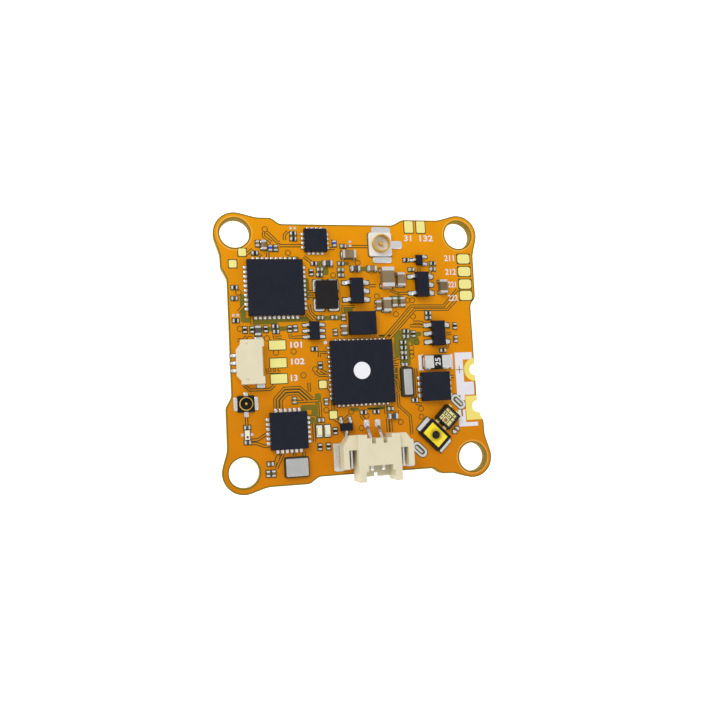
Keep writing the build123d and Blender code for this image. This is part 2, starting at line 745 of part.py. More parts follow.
flattened_dome = 0.13
flange_bottom = button_floor + flattened_dome + button_travel
flange_top = flange_bottom + 0.1
with BuildPart() as button_nub:
    with BuildSketch(turned(button_place, button_angle, board_top + flange_bottom)):
        Circle(0.55)
    extrude(amount=flange_top - flange_bottom)
    with BuildSketch(turned(button_place, button_angle, board_top + flange_top)):
        Circle(nub_radius)
    extrude(amount=nub_top - flange_top)
    fillet(button_nub.faces().sort_by(Axis.Z)[-1].edges(), 0.16)
button_nub.part.label = "button_nub"
export_step(button_nub.part, "parts/button_nub.step")

with BuildPart() as button_film:
    with BuildSketch(turned(button_place, button_angle, board_top + button_body[2])):
        RectangleRounded(2.4, 1.6, 0.12)
        Circle(nub_radius + film_clearance, mode=Mode.SUBTRACT)
    extrude(amount=film_thickness)
button_film.part.label = "button_film"
export_step(button_film.part, "parts/button_film.step")

# ---- colour LED: a black package turned 45 degrees, a lead frame in its well, a clear fill ----
colour_led_place = (9.96, -8.14)
with BuildPart() as colour_led_body:
    with BuildSketch(turned(colour_led_place, 45)):
        Rectangle(2.0, 2.0)
    extrude(amount=0.72)
    with BuildSketch(turned(colour_led_place, 45, board_top + 0.34)):
        RectangleRounded(1.72, 1.72, 0.1)
    extrude(amount=0.5, mode=Mode.SUBTRACT)
colour_led_body.part.label = "colour_led_body"
export_step(colour_led_body.part, "parts/colour_led_body.step")

# plates of the lead frame in the package's own axes: (x, y, width, depth)
lead_frame_plates = [
    (-0.42, -0.02, 0.62, 0.62),
    (-0.42, 0.56, 0.62, 0.34),
    (-0.42, -0.6, 0.62, 0.34),
    (0.16, 0.5, 0.34, 0.46),
    (0.16, -0.06, 0.34, 0.46),
    (0.16, -0.62, 0.34, 0.3),
    (0.6, 0.0, 0.3, 1.4),
]
with BuildPart() as colour_led_frame:
    with BuildSketch(turned(colour_led_place, 45, board_top + 0.34)):
        for x, y, width, depth in lead_frame_plates:
            with Locations((x, y)):
                Rectangle(width, depth)
    extrude(amount=0.08)
    with BuildSketch(turned(colour_led_place, 45)):
        with Locations((1.13, 0.55), (1.13, -0.55), (-1.13, 0.55), (-1.13, -0.55)):
            Rectangle(0.24, 0.44)
    extrude(amount=0.22)
colour_led_frame.part.label = "colour_led_frame"
export_step(colour_led_frame.part, "parts/colour_led_frame.step")

with BuildPart() as colour_led_fill:
    with BuildSketch(turned(colour_led_place, 45, board_top + 0.34)):
        RectangleRounded(1.7, 1.7, 0.09)
    extrude(amount=0.36)
    with BuildSketch(turned(colour_led_place, 45, board_top + 0.34)):
        for x, y, width, depth in lead_frame_plates:
            with Locations((x, y)):
                Rectangle(width, depth)
    extrude(amount=0.08, mode=Mode.SUBTRACT)
colour_led_fill.part.label = "colour_led_fill"
export_step(colour_led_fill.part, "parts/colour_led_fill.step")

# ---- small two-ended components: (x, y, quarter turns) ----
resistor_0201 = [
    (-6.45, 12.75, 0), (-6.45, 12.15, 0), (-10.7, 10.55, 0), (-4.3, 9.4, 0), (-4.65, 8.4, 1),
    (6.3, 9.8, 0), (9.45, 9.4, 0), (-13.0, 6.82, 0), (-13.0, 3.27, 0), (-12.08, 2.25, 1),
    (-11.33, 2.25, 1), (-9.87, 2.28, 1), (-8.85, 2.58, 0), (-7.3, 2.25, 1), (-4.72, 0.0, 0),
    (-4.17, -1.8, 1), (5.75, 1.7, 0), (6.62, 1.35, 1), (5.35, 0.45, 0), (5.35, -0.15, 0),
    (5.35, -1.27, 0), (8.5, 3.7, 0), (11.65, 2.15, 1), (10.0, -0.6, 0), (6.3, -6.05, 0),
    (0.35, -7.1, 0), (1.8, -7.1, 0), (-2.9, -8.95, 1), (-4.65, -10.55, 1), (-3.73, -10.55, 1),
]
capacitor_0201 = [
    (-10.35, 11.6, 1), (-1.35, 8.1, 0), (-3.7, 8.75, 0), (9.4, 8.75, 0), (6.85, 8.7, 0),
    (-3.9, 3.4, 0), (-2.35, 3.4, 0), (-1.3, 3.4, 1), (-2.3, 1.75, 1), (5.35, -0.72, 0),
    (5.35, -2.05, 0), (11.65, 0.65, 1), (-7.15, -5.45, 1), (-3.72, -5.75, 1), (-4.4, -7.7, 0),
    (3.45, -6.87, 0), (-10.0, -12.0, 0), (-10.28, -13.0, 1), (-9.7, -13.0, 1), (-1.35, 8.7, 0),
    (10.95, -9.65, 0.5),
]
filter_0201 = [
    (-13.05, 5.65, 0), (-8.8, 2.0, 0), (-6.68, 2.3, 1), (5.7, 1.1, 0), (8.5, 3.15, 0),
    (-0.9, 11.35, 0), (-1.3, 9.4, 0), (-3.75, 8.15, 0), (-12.28, -8.05, 0), (-12.28, -9.6, 0),
]
inductor_0201 = [(-9.0, 11.1, 1), (-8.4, 11.1, 1), (-1.9, 11.65, 1)]
capacitor_0402 = [
    (-9.72, 11.4, 1), (2.2, 8.8, 0), (2.72, 4.65, 1), (4.6, 5.0, 1), (5.5, 5.0, 1), (-1.33, 2.0, 1),
]
inductor_0402 = [(0.3, 8.8, 0), (-2.8, 9.4, 0), (-10.72, 2.13, 1), (3.65, -7.7, 0)]
capacitor_0603 = [(-0.4, 10.35, 0), (5.42, 7.5, 1), (3.63, 4.68, 1), (10.4, 6.66, 1)]
capacitor_0805 = [(3.83, 7.72, 1)]
# overall length, width, height and end length of each size
size_0201 = (0.6, 0.3, 0.26, 0.16)
size_0402 = (1.0, 0.52, 0.45, 0.22)
size_0603 = (1.5, 0.84, 0.75, 0.25)
size_0805 = (2.2, 1.36, 1.05, 0.42)


def chip_blocks(places, size, surface):
    # the ceramic middles of a row of chip components; surface is a function that gives a plane
    length, width, height, end = size
    for x, y, quarter in places:
        with BuildSketch(surface((x, y), 90 * quarter)) as middle:
            Rectangle(length - 2 * end, width)
        extrude(middle.sketch, amount=height)


def chip_ends(places, size, surface):
    # the plated ends, a touch fuller than the ceramic between them
    length, width, height, end = size
    for x, y, quarter in places:
        with BuildSketch(surface((x, y), 90 * quarter)) as ends:
            with Locations((-(length - end) / 2, 0), ((length - end) / 2, 0)):
                Rectangle(end, width + 0.03)
        extrude(ends.sketch, amount=height + 0.015)


with BuildPart() as chip_resistors:
    chip_blocks(resistor_0201, size_0201, turned)
chip_resistors.part.label = "chip_resistors"
export_step(chip_resistors.part, "parts/chip_resistors.step")

underside_chips_0402 = [(x, y, 0) for x in (-11.2, -3.0, 3.0, 11.2) for y in (4.3, 3.2, 2.1)]
underside_chips_0402 += [(x, y, 0) for x in (-11.2, -3.4) for y in (-4.3, -3.2, -2.1)]
underside_chips_0805 = [(-0.1, 7.4, 1), (12.2, -0.2, 1), (-12.2, -0.2, 1)]

with BuildPart() as ceramic_capacitors:
    chip_blocks(capacitor_0201, size_0201, turned)
    chip_blocks(capacitor_0402, size_0402, turned)
    chip_blocks(capacitor_0603, size_0603, turned)
    chip_blocks(capacitor_0805, size_0805, turned)
    chip_blocks(underside_chips_0402, size_0402, beneath)
    chip_blocks(underside_chips_0805, size_0805, beneath)
ceramic_capacitors.part.label = "ceramic_capacitors"
export_step(ceramic_capacitors.part, "parts/ceramic_capacitors.step")

with BuildPart() as chip_inductors:
    chip_blocks(filter_0201, size_0201, turned)
    chip_blocks(inductor_0201, size_0201, turned)
    chip_blocks(inductor_0402, size_0402, turned)
chip_inductors.part.label = "chip_inductors"
export_step(chip_inductors.part, "parts/chip_inductors.step")

with BuildPart() as chip_end_caps:
    chip_ends(resistor_0201 + capacitor_0201 + filter_0201 + inductor_0201, size_0201, turned)
    chip_ends(capacitor_0402 + inductor_0402, size_0402, turned)
    chip_ends(capacitor_0603, size_0603, turned)
    chip_ends(capacitor_0805, size_0805, turned)
    chip_ends(underside_chips_0402, size_0402, beneath)
    chip_ends(underside_chips_0805, size_0805, beneath)
chip_end_caps.part.label = "chip_end_caps"
export_step(chip_end_caps.part, "parts/chip_end_caps.step")

# ---- antenna filter and the two status lamps ----
with BuildPart() as antenna_filter:
    with BuildSketch(turned((-12.3, -8.83), 0)):
        Rectangle(0.52, 0.98)
    extrude(amount=0.42)
    chamfer(antenna_filter.faces().sort_by(Axis.Z)[-1].edges(), 0.03)
antenna_filter.part.label = "antenna_filter"
export_step(antenna_filter.part, "parts/antenna_filter.step")

status_lamp_places = [(-4.65, -8.88), (-3.75, -8.88)]
with BuildPart() as status_lamp_bases:
    with BuildSketch(Plane.XY.offset(board_top)):
        with Locations(*status_lamp_places):
            Rectangle(0.6, 1.24)
    extrude(amount=0.16)
status_lamp_bases.part.label = "status_lamp_bases"
export_step(status_lamp_bases.part, "parts/status_lamp_bases.step")

with BuildPart() as status_lamp_lenses:
    with BuildSketch(Plane.XY.offset(board_top + 0.16)):
        with Locations(*status_lamp_places):
            Rectangle(0.56, 0.8)
    extrude(amount=0.3, taper=6)
status_lamp_lenses.part.label = "status_lamp_lenses"
export_step(status_lamp_lenses.part, "parts/status_lamp_lenses.step")

# ---- underside: micro socket for the data lead, set across the corner between its two slots ----
usb_place = (
    (stake_slots[0][0] + stake_slots[1][0]) / 2,
    (stake_slots[0][1] + stake_slots[1][1]) / 2,
)
usb_angle = stake_slot_angle
usb_width = 7.5
usb_depth = 4.6
usb_height = 2.45
usb_wall = 0.25
usb_gap = 0.06
# the shell's middle lies this far behind its stakes
usb_setback = 0.5
usb_face = Plane(
    origin=(usb_place[0], usb_place[1], -usb_gap),
    x_dir=(cos(radians(usb_angle)), sin(radians(usb_angle)), 0),
    z_dir=(0, 0, -1),
)


def usb_section(inset):
    # the socket's cross-section: full width at the board, drawn in at its outer corners
    half = usb_width / 2 - inset
    deep = usb_height - inset
    Polyline(
        (-half, inset),
        (half, inset),
        (half, deep * 0.55),
        (half - 0.75, deep),
        (-half + 0.75, deep),
        (-half, deep * 0.55),
        close=True,
    )


usb_mouth = Plane(
    origin=(usb_place[0], usb_place[1], -usb_gap),
    x_dir=usb_face.y_dir,
    z_dir=usb_face.x_dir,
)
usb_front = usb_depth / 2 - usb_setback
with BuildPart() as usb_socket_shell:
    with BuildSketch(usb_mouth.offset(usb_front)):
        with BuildLine():
            usb_section(0)
        make_face()
        with BuildLine():
            usb_section(usb_wall)
        make_face(mode=Mode.SUBTRACT)
    extrude(amount=-usb_depth)
    for side in (-1, 1):
        with BuildSketch(usb_face):
            with Locations((0, side * (usb_width / 2 - usb_wall / 2 - 0.05))):
                Rectangle(1.05, usb_wall)
        extrude(amount=-(board_top + usb_gap + 0.02))
usb_socket_shell.part.label = "usb_socket_shell"
export_step(usb_socket_shell.part, "parts/usb_socket_shell.step")

with BuildPart() as usb_socket_core:
    with BuildSketch(usb_mouth.offset(usb_front - usb_depth)):
        with BuildLine():
            usb_section(usb_wall + 0.02)
        make_face()
    extrude(amount=0.9)
    with BuildSketch(usb_mouth.offset(usb_front - usb_depth + 0.9)):
        with Locations((0, 0.95)):
            Rectangle(3.4, 0.5)
    extrude(amount=2.9)
usb_socket_core.part.label = "usb_socket_core"
export_step(usb_socket_core.part, "parts/usb_socket_core.step")

# ---- underside: motor sockets, their bridge drivers and controllers ----
motor_sockets = [((-6.5, 12.1), 90), ((6.5, 12.1), 90), ((-6.5, -12.1), -90), ((1.6, -12.0), -90)]
driver_places = [
    (-10.4, 7.4), (-6.9, 7.4), (-3.4, 7.4), (3.4, 7.4), (6.9, 7.4), (10.4, 7.4),
    (-10.4, -7.4), (-6.9, -7.4), (-3.4, -7.4), (0.3, -7.4), (3.9, -5.2), (7.4, -2.4),
]
controller_places = [(-7.0, 3.1), (7.0, 3.1), (-7.0, -3.1), (0.4, -2.6)]

with BuildPart() as motor_socket_housings:
    for place, angle in motor_sockets:
        small_socket_housing(beneath(place, angle))
motor_socket_housings.part.label = "motor_socket_housings"
export_step(motor_socket_housings.part, "parts/motor_socket_housings.step")

with BuildPart() as motor_socket_contacts:
    for place, angle in motor_sockets:
        small_socket_metalwork(place, angle, -1)
motor_socket_contacts.part.label = "motor_socket_contacts"
export_step(motor_socket_contacts.part, "parts/motor_socket_contacts.step")


def underside_blocks(places, side_length, height):
    for place in places:
        with BuildSketch(beneath(place, 0).offset(contact_height)) as footprint:
            Rectangle(side_length, side_length)
        extrude(footprint.sketch, amount=height)


with BuildPart() as motor_driver_chips:
    underside_blocks(driver_places, 3.0, 0.75)
    chamfer(motor_driver_chips.edges().group_by(Axis.Z)[0], 0.05)
motor_driver_chips.part.label = "motor_driver_chips"
export_step(motor_driver_chips.part, "parts/motor_driver_chips.step")

with BuildPart() as motor_controller_chips:
    underside_blocks(controller_places, 3.0, 0.72)
    chamfer(motor_controller_chips.edges().group_by(Axis.Z)[0], 0.05)
motor_controller_chips.part.label = "motor_controller_chips"
export_step(motor_controller_chips.part, "parts/motor_controller_chips.step")

with BuildPart() as underside_contacts:
    for place in driver_places:
        with BuildSketch(beneath(place, 0)):
            with GridLocations(0, 0.65, 1, 4):
                with Locations((-1.45, 0), (1.45, 0)):
                    Rectangle(0.5, 0.34)
        extrude(amount=contact_height)
    for place in controller_places:
        with BuildSketch(beneath(place, 0)):
            with GridLocations(0.5, 0, 5, 1):
                with Locations((0, -1.5), (0, 1.5)):
                    Rectangle(contact_width, 0.5)
            with GridLocations(0, 0.5, 1, 5):
                with Locations((-1.5, 0), (1.5, 0)):
                    Rectangle(0.5, contact_width)
        extrude(amount=contact_height)
underside_contacts.part.label = "underside_contacts"
export_step(underside_contacts.part, "parts/underside_contacts.step")
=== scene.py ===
import bpy
import math
import random
from mathutils import Matrix, Vector


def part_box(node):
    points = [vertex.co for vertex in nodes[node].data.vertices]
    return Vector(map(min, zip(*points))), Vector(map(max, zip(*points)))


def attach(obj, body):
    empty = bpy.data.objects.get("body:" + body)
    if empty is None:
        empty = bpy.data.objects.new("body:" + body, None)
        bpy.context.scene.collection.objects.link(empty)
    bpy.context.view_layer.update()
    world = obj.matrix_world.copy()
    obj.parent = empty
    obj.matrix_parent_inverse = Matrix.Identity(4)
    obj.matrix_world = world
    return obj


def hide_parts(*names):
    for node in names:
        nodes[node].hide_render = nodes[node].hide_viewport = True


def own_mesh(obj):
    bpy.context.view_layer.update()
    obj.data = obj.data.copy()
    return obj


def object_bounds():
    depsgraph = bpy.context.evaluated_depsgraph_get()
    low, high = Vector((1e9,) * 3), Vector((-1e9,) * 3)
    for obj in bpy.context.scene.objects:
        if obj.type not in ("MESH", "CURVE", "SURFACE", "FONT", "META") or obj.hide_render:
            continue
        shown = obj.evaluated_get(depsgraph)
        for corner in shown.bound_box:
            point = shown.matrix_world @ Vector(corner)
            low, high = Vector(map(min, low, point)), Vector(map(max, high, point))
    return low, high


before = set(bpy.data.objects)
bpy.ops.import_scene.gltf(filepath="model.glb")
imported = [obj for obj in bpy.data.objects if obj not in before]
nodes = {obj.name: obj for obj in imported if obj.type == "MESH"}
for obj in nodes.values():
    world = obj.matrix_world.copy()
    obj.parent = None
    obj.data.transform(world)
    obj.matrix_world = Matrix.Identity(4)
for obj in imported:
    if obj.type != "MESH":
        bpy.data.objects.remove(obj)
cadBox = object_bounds()
mm = 0.001
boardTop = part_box("circuit_board")[1].z
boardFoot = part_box("circuit_board")[0].z
random.seed(11)
print("frame loaded,", len(nodes), "nodes")


# shader helpers
def paint(red, green, blue):
    # a colour picked on a 0 to 255 scale, as the shader wants it
    def straight(value):
        value = value / 255
        return value / 12.92 if value <= 0.04045 else ((value + 0.055) / 1.055) ** 2.4
    return (straight(red), straight(green), straight(blue), 1.0)


def shaded(colour, amount):
    return tuple(min(1.0, part * amount) for part in colour[:3]) + (1.0,)


class Wire:
    # a number coming out of a node, usable in Python sums
    def __init__(self, finish, socket):
        self.finish = finish
        self.socket = socket

    def __add__(self, other):
        return self.finish.maths("ADD", self, other)

    __radd__ = __add__

    def __mul__(self, other):
        return self.finish.maths("MULTIPLY", self, other)

    __rmul__ = __mul__

    def __sub__(self, other):
        return self.finish.maths("SUBTRACT", self, other)

    def __rsub__(self, other):
        return self.finish.maths("SUBTRACT", other, self)

    def __gt__(self, other):
        return self.finish.maths("GREATER_THAN", self, other)

    def __lt__(self, other):
        return self.finish.maths("LESS_THAN", self, other)


class Finish:
    # one material: a Principled shader and the nodes that feed it
    def __init__(self, name, **constants):
        self.material = bpy.data.materials.new(name)
        self.material.use_nodes = True
        self.tree = self.material.node_tree
        self.shader = self.tree.nodes["Principled BSDF"]
        for key, value in constants.items():
            self.shader.inputs[key.replace("_", " ")].default_value = value
        self.place = Wire(self, self.tree.nodes.new("ShaderNodeTexCoord").outputs["Object"])

    def node(self, kind, settings=None, inputs=None):
        made = self.tree.nodes.new(kind)
        for key, value in (settings or {}).items():
            if key == "stops":
                for index, (position, colour) in enumerate(value):
                    stops = made.color_ramp.elements
                    stop = stops[index] if index < len(stops) else stops.new(position)
                    stop.position = position
                    stop.color = colour
            else:
                setattr(made, key, value)
        for key, value in (inputs or {}).items():
            self.feed(made.inputs[key], value)
        return made

    def feed(self, socket, value):
        if isinstance(value, Wire):
            self.tree.links.new(value.socket, socket)
        else:
            socket.default_value = value

    def maths(self, operation, first, second):
        made = self.node("ShaderNodeMath", {"operation": operation}, {0: first, 1: second})
        return Wire(self, made.outputs[0])

    def clamp(self, value, low=0.0, high=1.0):
        made = self.node("ShaderNodeClamp", None, {"Value": value, "Min": low, "Max": high})
        return Wire(self, made.outputs[0])

    def blend(self, factor, first, second):
        made = self.node("ShaderNodeMix", {"data_type": "RGBA"}, {0: factor, 6: first, 7: second})
        return Wire(self, made.outputs[2])

    def noise(self, size, detail=2.0, stretch=(1, 1, 1)):
        # cloud noise whose lumps are about size millimetres across
        lie = self.node("ShaderNodeMapping", None, {"Vector": self.place, "Scale": stretch})
        sockets = {"Vector": Wire(self, lie.outputs[0]), "Scale": 0.6 / (size * mm), "Detail": detail}
        return Wire(self, self.node("ShaderNodeTexNoise", None, sockets).outputs[0])

    def lots(self, scale, stops):
        # a colour taken from the stops, one for each little cell of the board
        cells = self.node("ShaderNodeTexVoronoi", None, {"Vector": self.place, "Scale": scale})
        pick = self.node("ShaderNodeSeparateColor", None, {0: Wire(self, cells.outputs["Color"])})
        ramp = self.node("ShaderNodeValToRGB", {"stops": stops}, {0: Wire(self, pick.outputs[0])})
        return Wire(self, ramp.outputs[0])

    def distance(self, x, y, height):
        # how far each point lies from a spot this high over the board, given in millimetres
        spot = (x * mm, y * mm, boardTop + height * mm)
        made = self.node("ShaderNodeVectorMath", {"operation": "DISTANCE"}, {0: self.place, 1: spot})
        return Wire(self, made.outputs["Value"])

    def axis(self, name):
        made = self.node("ShaderNodeSeparateXYZ", None, {0: self.place})
        return Wire(self, made.outputs[name])

    def out(self, name, value):
        self.feed(self.shader.inputs[name], value)

    def bump(self, height, depth):
        # height runs 0 to 1, depth is in millimetres
        made = self.node("ShaderNodeBump", None, {"Height": height, "Distance": depth * mm, "Strength": 1.0})
        self.out("Normal", Wire(self, made.outputs[0]))


# what a plain finish is made of: colour, how far the colour varies, roughness, how far that varies,
# size of the grain, depth of the grain, metallic, and the specular level where it isn't plainFinish's own
finishes = {
    "goldPlate": ((255, 241, 150), 0.08, 0.3, 0.14, 0.09, 0.004, 0.4),
    "plugGold": ((226, 184, 84), 0.14, 0.24, 0.14, 0.08, 0.004, 0.9),
    "paleGold": ((255, 232, 122), 0.08, 0.34, 0.16, 0.14, 0.006, 0.5),
    "tinPlate": ((230, 230, 226), 0.3, 0.24, 0.24, 0.16, 0.012, 0.9),
    "solder": ((238, 238, 236), 0.32, 0.18, 0.24, 0.16, 0.024, 0.92),
    "chipResin": ((27, 30, 42), 0.3, 0.5, 0.14, 0.05, 0.005, 0.0, 0.14),
    "blackCeramic": ((28, 25, 26), 0.3, 0.42, 0.16, 0.08, 0.004, 0.0, 0.18),
    "greyCeramic": ((58, 54, 40), 0.25, 0.5, 0.16, 0.06, 0.004, 0.0),
    "whiteCeramic": ((232, 228, 214), 0.1, 0.45, 0.14, 0.06, 0.004, 0.0),
    "creamNylon": ((224, 215, 184), 0.1, 0.44, 0.12, 0.07, 0.005, 0.0),
    "whiteResin": ((236, 236, 236), 0.08, 0.42, 0.12, 0.06, 0.004, 0.0),
    "blackResin": ((24, 22, 24), 0.3, 0.4, 0.16, 0.06, 0.005, 0.0, 0.2),
    "blackRubber": ((18, 16, 16), 0.3, 0.3, 0.12, 0.05, 0.003, 0.0, 0.3),
    "springSteel": ((206, 204, 198), 0.14, 0.24, 0.14, 0.05, 0.003, 1.0),
    "shellSteel": ((214, 214, 212), 0.12, 0.27, 0.18, 0.2, 0.006, 1.0),
    "lidMetal": ((196, 197, 195), 0.2, 0.36, 0.18, 0.08, 0.006, 0.85),
    "lampResin": ((240, 234, 204), 0.1, 0.2, 0.1, 0.12, 0.004, 0.0),
    "screenInk": ((228, 226, 230), 0.07, 0.5, 0.14, 0.05, 0.003, 0.0),
    "bareMask": ((118, 108, 4), 0.3, 0.34, 0.16, 0.12, 0.006, 0.0),
    # the bare laminate of bareMask, darkened with painted shade for narrow gaps and outlines round parts
    "gapShade": ((78, 72, 6), 0.25, 0.36, 0.16, 0.1, 0.005, 0.0),
    "redPaint": ((120, 24, 28), 0.2, 0.4, 0.12, 0.05, 0.003, 0.0),
    "ringGlint": ((238, 196, 96), 0.1, 0.3, 0.1, 0.2, 0.004, 0.0),
    "whitePaint": ((238, 238, 244), 0.05, 0.45, 0.14, 0.1, 0.004, 0.0),
    "diePaint": ((150, 84, 40), 0.25, 0.3, 0.12, 0.05, 0.003, 0.2),
}


def plainFinish(name, colour, vary, gloss, scatter, grain, depth, metallic, shine=0.3):
    made = Finish(name, Metallic=metallic, Specular_IOR_Level=shine)
    base = paint(*colour)
    cloud = made.noise(grain * 14, 3.0)  # blotches far wider than the grain
    fine = made.noise(grain, 2.0)
    tone = made.clamp(cloud * 0.7 + fine * 0.5 - 0.1)
    made.out("Base Color", made.blend(tone, shaded(base, 1 - vary), shaded(base, 1 + vary)))
    made.out("Roughness", made.clamp(gloss + (made.noise(grain * 5, 3.0) - 0.5) * scatter * 2, 0.05, 0.95))
    made.bump(fine, depth)
    return made


stock = {name: plainFinish(name, *values) for name, values in finishes.items()}
print("plain finishes ready,", len(stock))

# solder mask: orange over copper, with painted light that makes it brighter towards the video antenna's edge
# and painted shade that makes it darker towards the accessory socket's edge, bare laminate at the sides
mask = {
    "far": (234, 152, 0), "near": (210, 124, 0),  # painted lit end at the video antenna's edge, painted shaded end at the accessory socket's
    "perMetre": 33.0,  # how steeply one colour turns into the other
    "bright": 1.06, "dull": 0.9, "cloud": 2.4,  # light and dark patches, and their size
    "laminate": (176, 150, 40), "laminateDark": (128, 104, 24), "weave": 0.35,
    "skin": 0.03,  # how far the mask comes down over the edge
    "gloss": 0.26, "scatter": 0.22, "laminateGloss": 0.35, "ripple": 0.012,
}


def grey(level):
    return (level, level, level, 1.0)


# lift scales the mask's brightness; above 1 it paints a highlight, as on the raised copper
def maskFinish(name, lift):
    made = Finish(name, Metallic=0.0, Specular_IOR_Level=0.1)
    # painted light and shade: the mask colour runs from the darker near end to the brighter far end along Y
    paintedLightSlope = made.clamp(made.axis("Y") * mask["perMetre"] + 0.5)
    ground = made.blend(paintedLightSlope, paint(*mask["near"]), paint(*mask["far"]))
    cloud = made.clamp(made.noise(mask["cloud"], 3.0) * 1.6 - 0.3)
    patchesAndPaintedLift = made.blend(cloud, grey(mask["dull"] * lift), grey(mask["bright"] * lift))
    multiply = {"data_type": "RGBA", "blend_type": "MULTIPLY"}
    tinted = made.node("ShaderNodeMix", multiply, {0: 1.0, 6: ground, 7: patchesAndPaintedLift})
    height = made.axis("Z")
    flank = (height > boardFoot + mask["skin"] * mm) * (height < boardTop - mask["skin"] * mm)
    weave = made.noise(mask["weave"], 4.0, (1, 1, 6))
    laminate = made.blend(weave, paint(*mask["laminateDark"]), paint(*mask["laminate"]))
    made.out("Base Color", made.blend(flank, Wire(made, tinted.outputs[2]), laminate))
    gloss = mask["gloss"] + (made.noise(0.8, 3.0) - 0.5) * mask["scatter"] + flank * mask["laminateGloss"]
    made.out("Roughness", made.clamp(gloss, 0.08, 0.9))
    made.bump(made.noise(0.5, 2.0) * 0.6 + made.noise(0.09, 2.0) * 0.4, mask["ripple"])
    return made


stock["mask"] = maskFinish("mask", 1.0)
# the raised copper's mask is a lit copy, 5 % lighter as a painted highlight
stock["maskRaisedLit"] = maskFinish("maskRaisedLit", 1.05)

# multilayer capacitors: browns and greys that change from one part to the next
capacitorColours = {
    "stops": [(0.0, (132, 108, 78)), (0.35, (148, 130, 98)), (0.7, (114, 98, 80)), (1.0, (156, 140, 112))],
    "fleck": (104, 86, 66), "cells": 520.0,
}
# chip inductors: greys in the same way, and two blue beads
inductorColours = {
    "stops": [(0.0, (92, 90, 96)), (0.4, (70, 70, 76)), (0.75, (118, 112, 110)), (1.0, (78, 76, 86))],
    "fleck": (48, 46, 54), "cells": 460.0,
    "blue": (24, 82, 214), "beads": [(-9.0, 11.1), (-1.9, 11.65)], "beadReach": 0.4,
}


def lotColours(made, fine, flecked, colours):
    stops = [(place, paint(*colour)) for place, colour in colours["stops"]]
    return made.blend(fine * flecked, made.lots(colours["cells"], stops), paint(*colours["fleck"]))


def capacitorFinish():
    made = Finish("tanCeramic", Metallic=0.0, Specular_IOR_Level=0.2)
    fine = made.noise(0.06, 3.0)
    made.out("Base Color", lotColours(made, fine, 0.5, capacitorColours))
    made.out("Roughness", made.clamp(0.38 + made.noise(0.3, 2.0) * 0.25))
    made.bump(fine, 0.005)
    return made


def inductorFinish():
    made = Finish("ferrite", Metallic=0.0, Specular_IOR_Level=0.2)
    fine = made.noise(0.05, 3.0)
    colour = lotColours(made, fine, 0.4, inductorColours)
    for x, y in inductorColours["beads"]:
        bead = made.distance(x, y, 0.0) < inductorColours["beadReach"] * mm
        colour = made.blend(bead, colour, paint(*inductorColours["blue"]))
    made.out("Base Color", colour)
    made.out("Roughness", made.clamp(0.3 + made.noise(0.3, 2.0) * 0.25))
    made.bump(fine, 0.004)
    return made


stock["tanCeramic"] = capacitorFinish()
stock["ferrite"] = inductorFinish()

# the button's film, a crowned sheet with a hole for the nub, in millimetres and degrees
film = {
    "place": (8.32, -10.03), "size": (2.36, 1.6), "foot": 0.56, "crown": 0.16, "turn": -46.0, "thick": 0.02,
    "hole": 0.44, "nearHole": 0.7,  # open edges nearer the middle than this belong to the hole
    "yellow": (250, 224, 16), "shaded": (150, 124, 4), "shadeHeight": 0.65,
    "fade": 0.5, "shadeReach": 0.75,  # the painted shade ring fades over this length, and ends this far out
}


def filmFinish():
    # yellow, with painted shade darkening it in a ring round the nub
    made = Finish("yellowFilm", Metallic=0.0, Specular_IOR_Level=0.4)
    patch = made.noise(0.35, 2.0)
    away = made.distance(*film["place"], film["shadeHeight"])
    ring = made.clamp(away * (-1 / (film["fade"] * mm)) + film["shadeReach"] / film["fade"] + patch * 0.45)
    made.out("Base Color", made.blend(ring, paint(*film["yellow"]), paint(*film["shaded"])))
    made.out("Roughness", made.clamp(0.14 + patch * 0.14))
    made.bump(patch, 0.02)
    return made


stock["yellowFilm"] = filmFinish()


# clear casting resin over the colour lamp
def clearFinish():
    made = Finish("clearResin", Metallic=0.0, IOR=1.45, Specular_IOR_Level=0.3)
    haze = made.noise(0.25, 2.0)
    made.out("Base Color", made.blend(haze, paint(250, 248, 236), paint(228, 222, 196)))
    made.out("Roughness", made.clamp(0.05 + haze * 0.12))
    made.out("Alpha", made.clamp(0.02 + haze * 0.06))
    made.bump(haze, 0.01)
    return made


stock["clearResin"] = clearFinish()
print("board, ceramic and clear finishes ready")

# which finish a CAD node takes; the nodes left out are tinned metal
nodeFinish = {
    "mask": ["circuit_board"],
    "goldPlate": ["signal_pads", "colour_led_frame"],
    "plugGold": [
        "video_antenna_shell", "video_antenna_pin", "receiver_antenna_shell", "receiver_antenna_pin",
    ],
    "paleGold": ["battery_pad_positive", "battery_pad_negative"],
    "chipResin": [
        "main_processor", "video_transmitter_chip", "rf_amplifier_chip", "receiver_chip", "gyro_chip",
        "power_switch_chip", "regulator_chips", "small_chip_bodies", "motor_driver_chips",
        "motor_controller_chips",
    ],
    "blackCeramic": ["transmitter_crystal", "current_shunt", "chip_resistors"],
    "tanCeramic": ["ceramic_capacitors"],
    "ferrite": ["chip_inductors"],
    "greyCeramic": ["receiver_crystal_base", "processor_crystal_base"],
    "lidMetal": ["receiver_crystal_lid", "processor_crystal_lid"],
    "whiteCeramic": ["antenna_filter"],
    "creamNylon": ["camera_socket_housing", "accessory_socket_housing", "motor_socket_housings"],
    "whiteResin": ["video_antenna_base", "status_lamp_bases"],
    "lampResin": ["status_lamp_lenses"],
    "blackResin": ["receiver_antenna_base", "usb_socket_core", "button_housing", "colour_led_body"],
    "blackRubber": ["button_nub"],
    "yellowFilm": ["button_film"],
    "springSteel": ["button_dome"],
    "shellSteel": ["usb_socket_shell"],
    "clearResin": ["colour_led_fill"],
}
finishOf = {node: finish for finish, members in nodeFinish.items() for node in members}
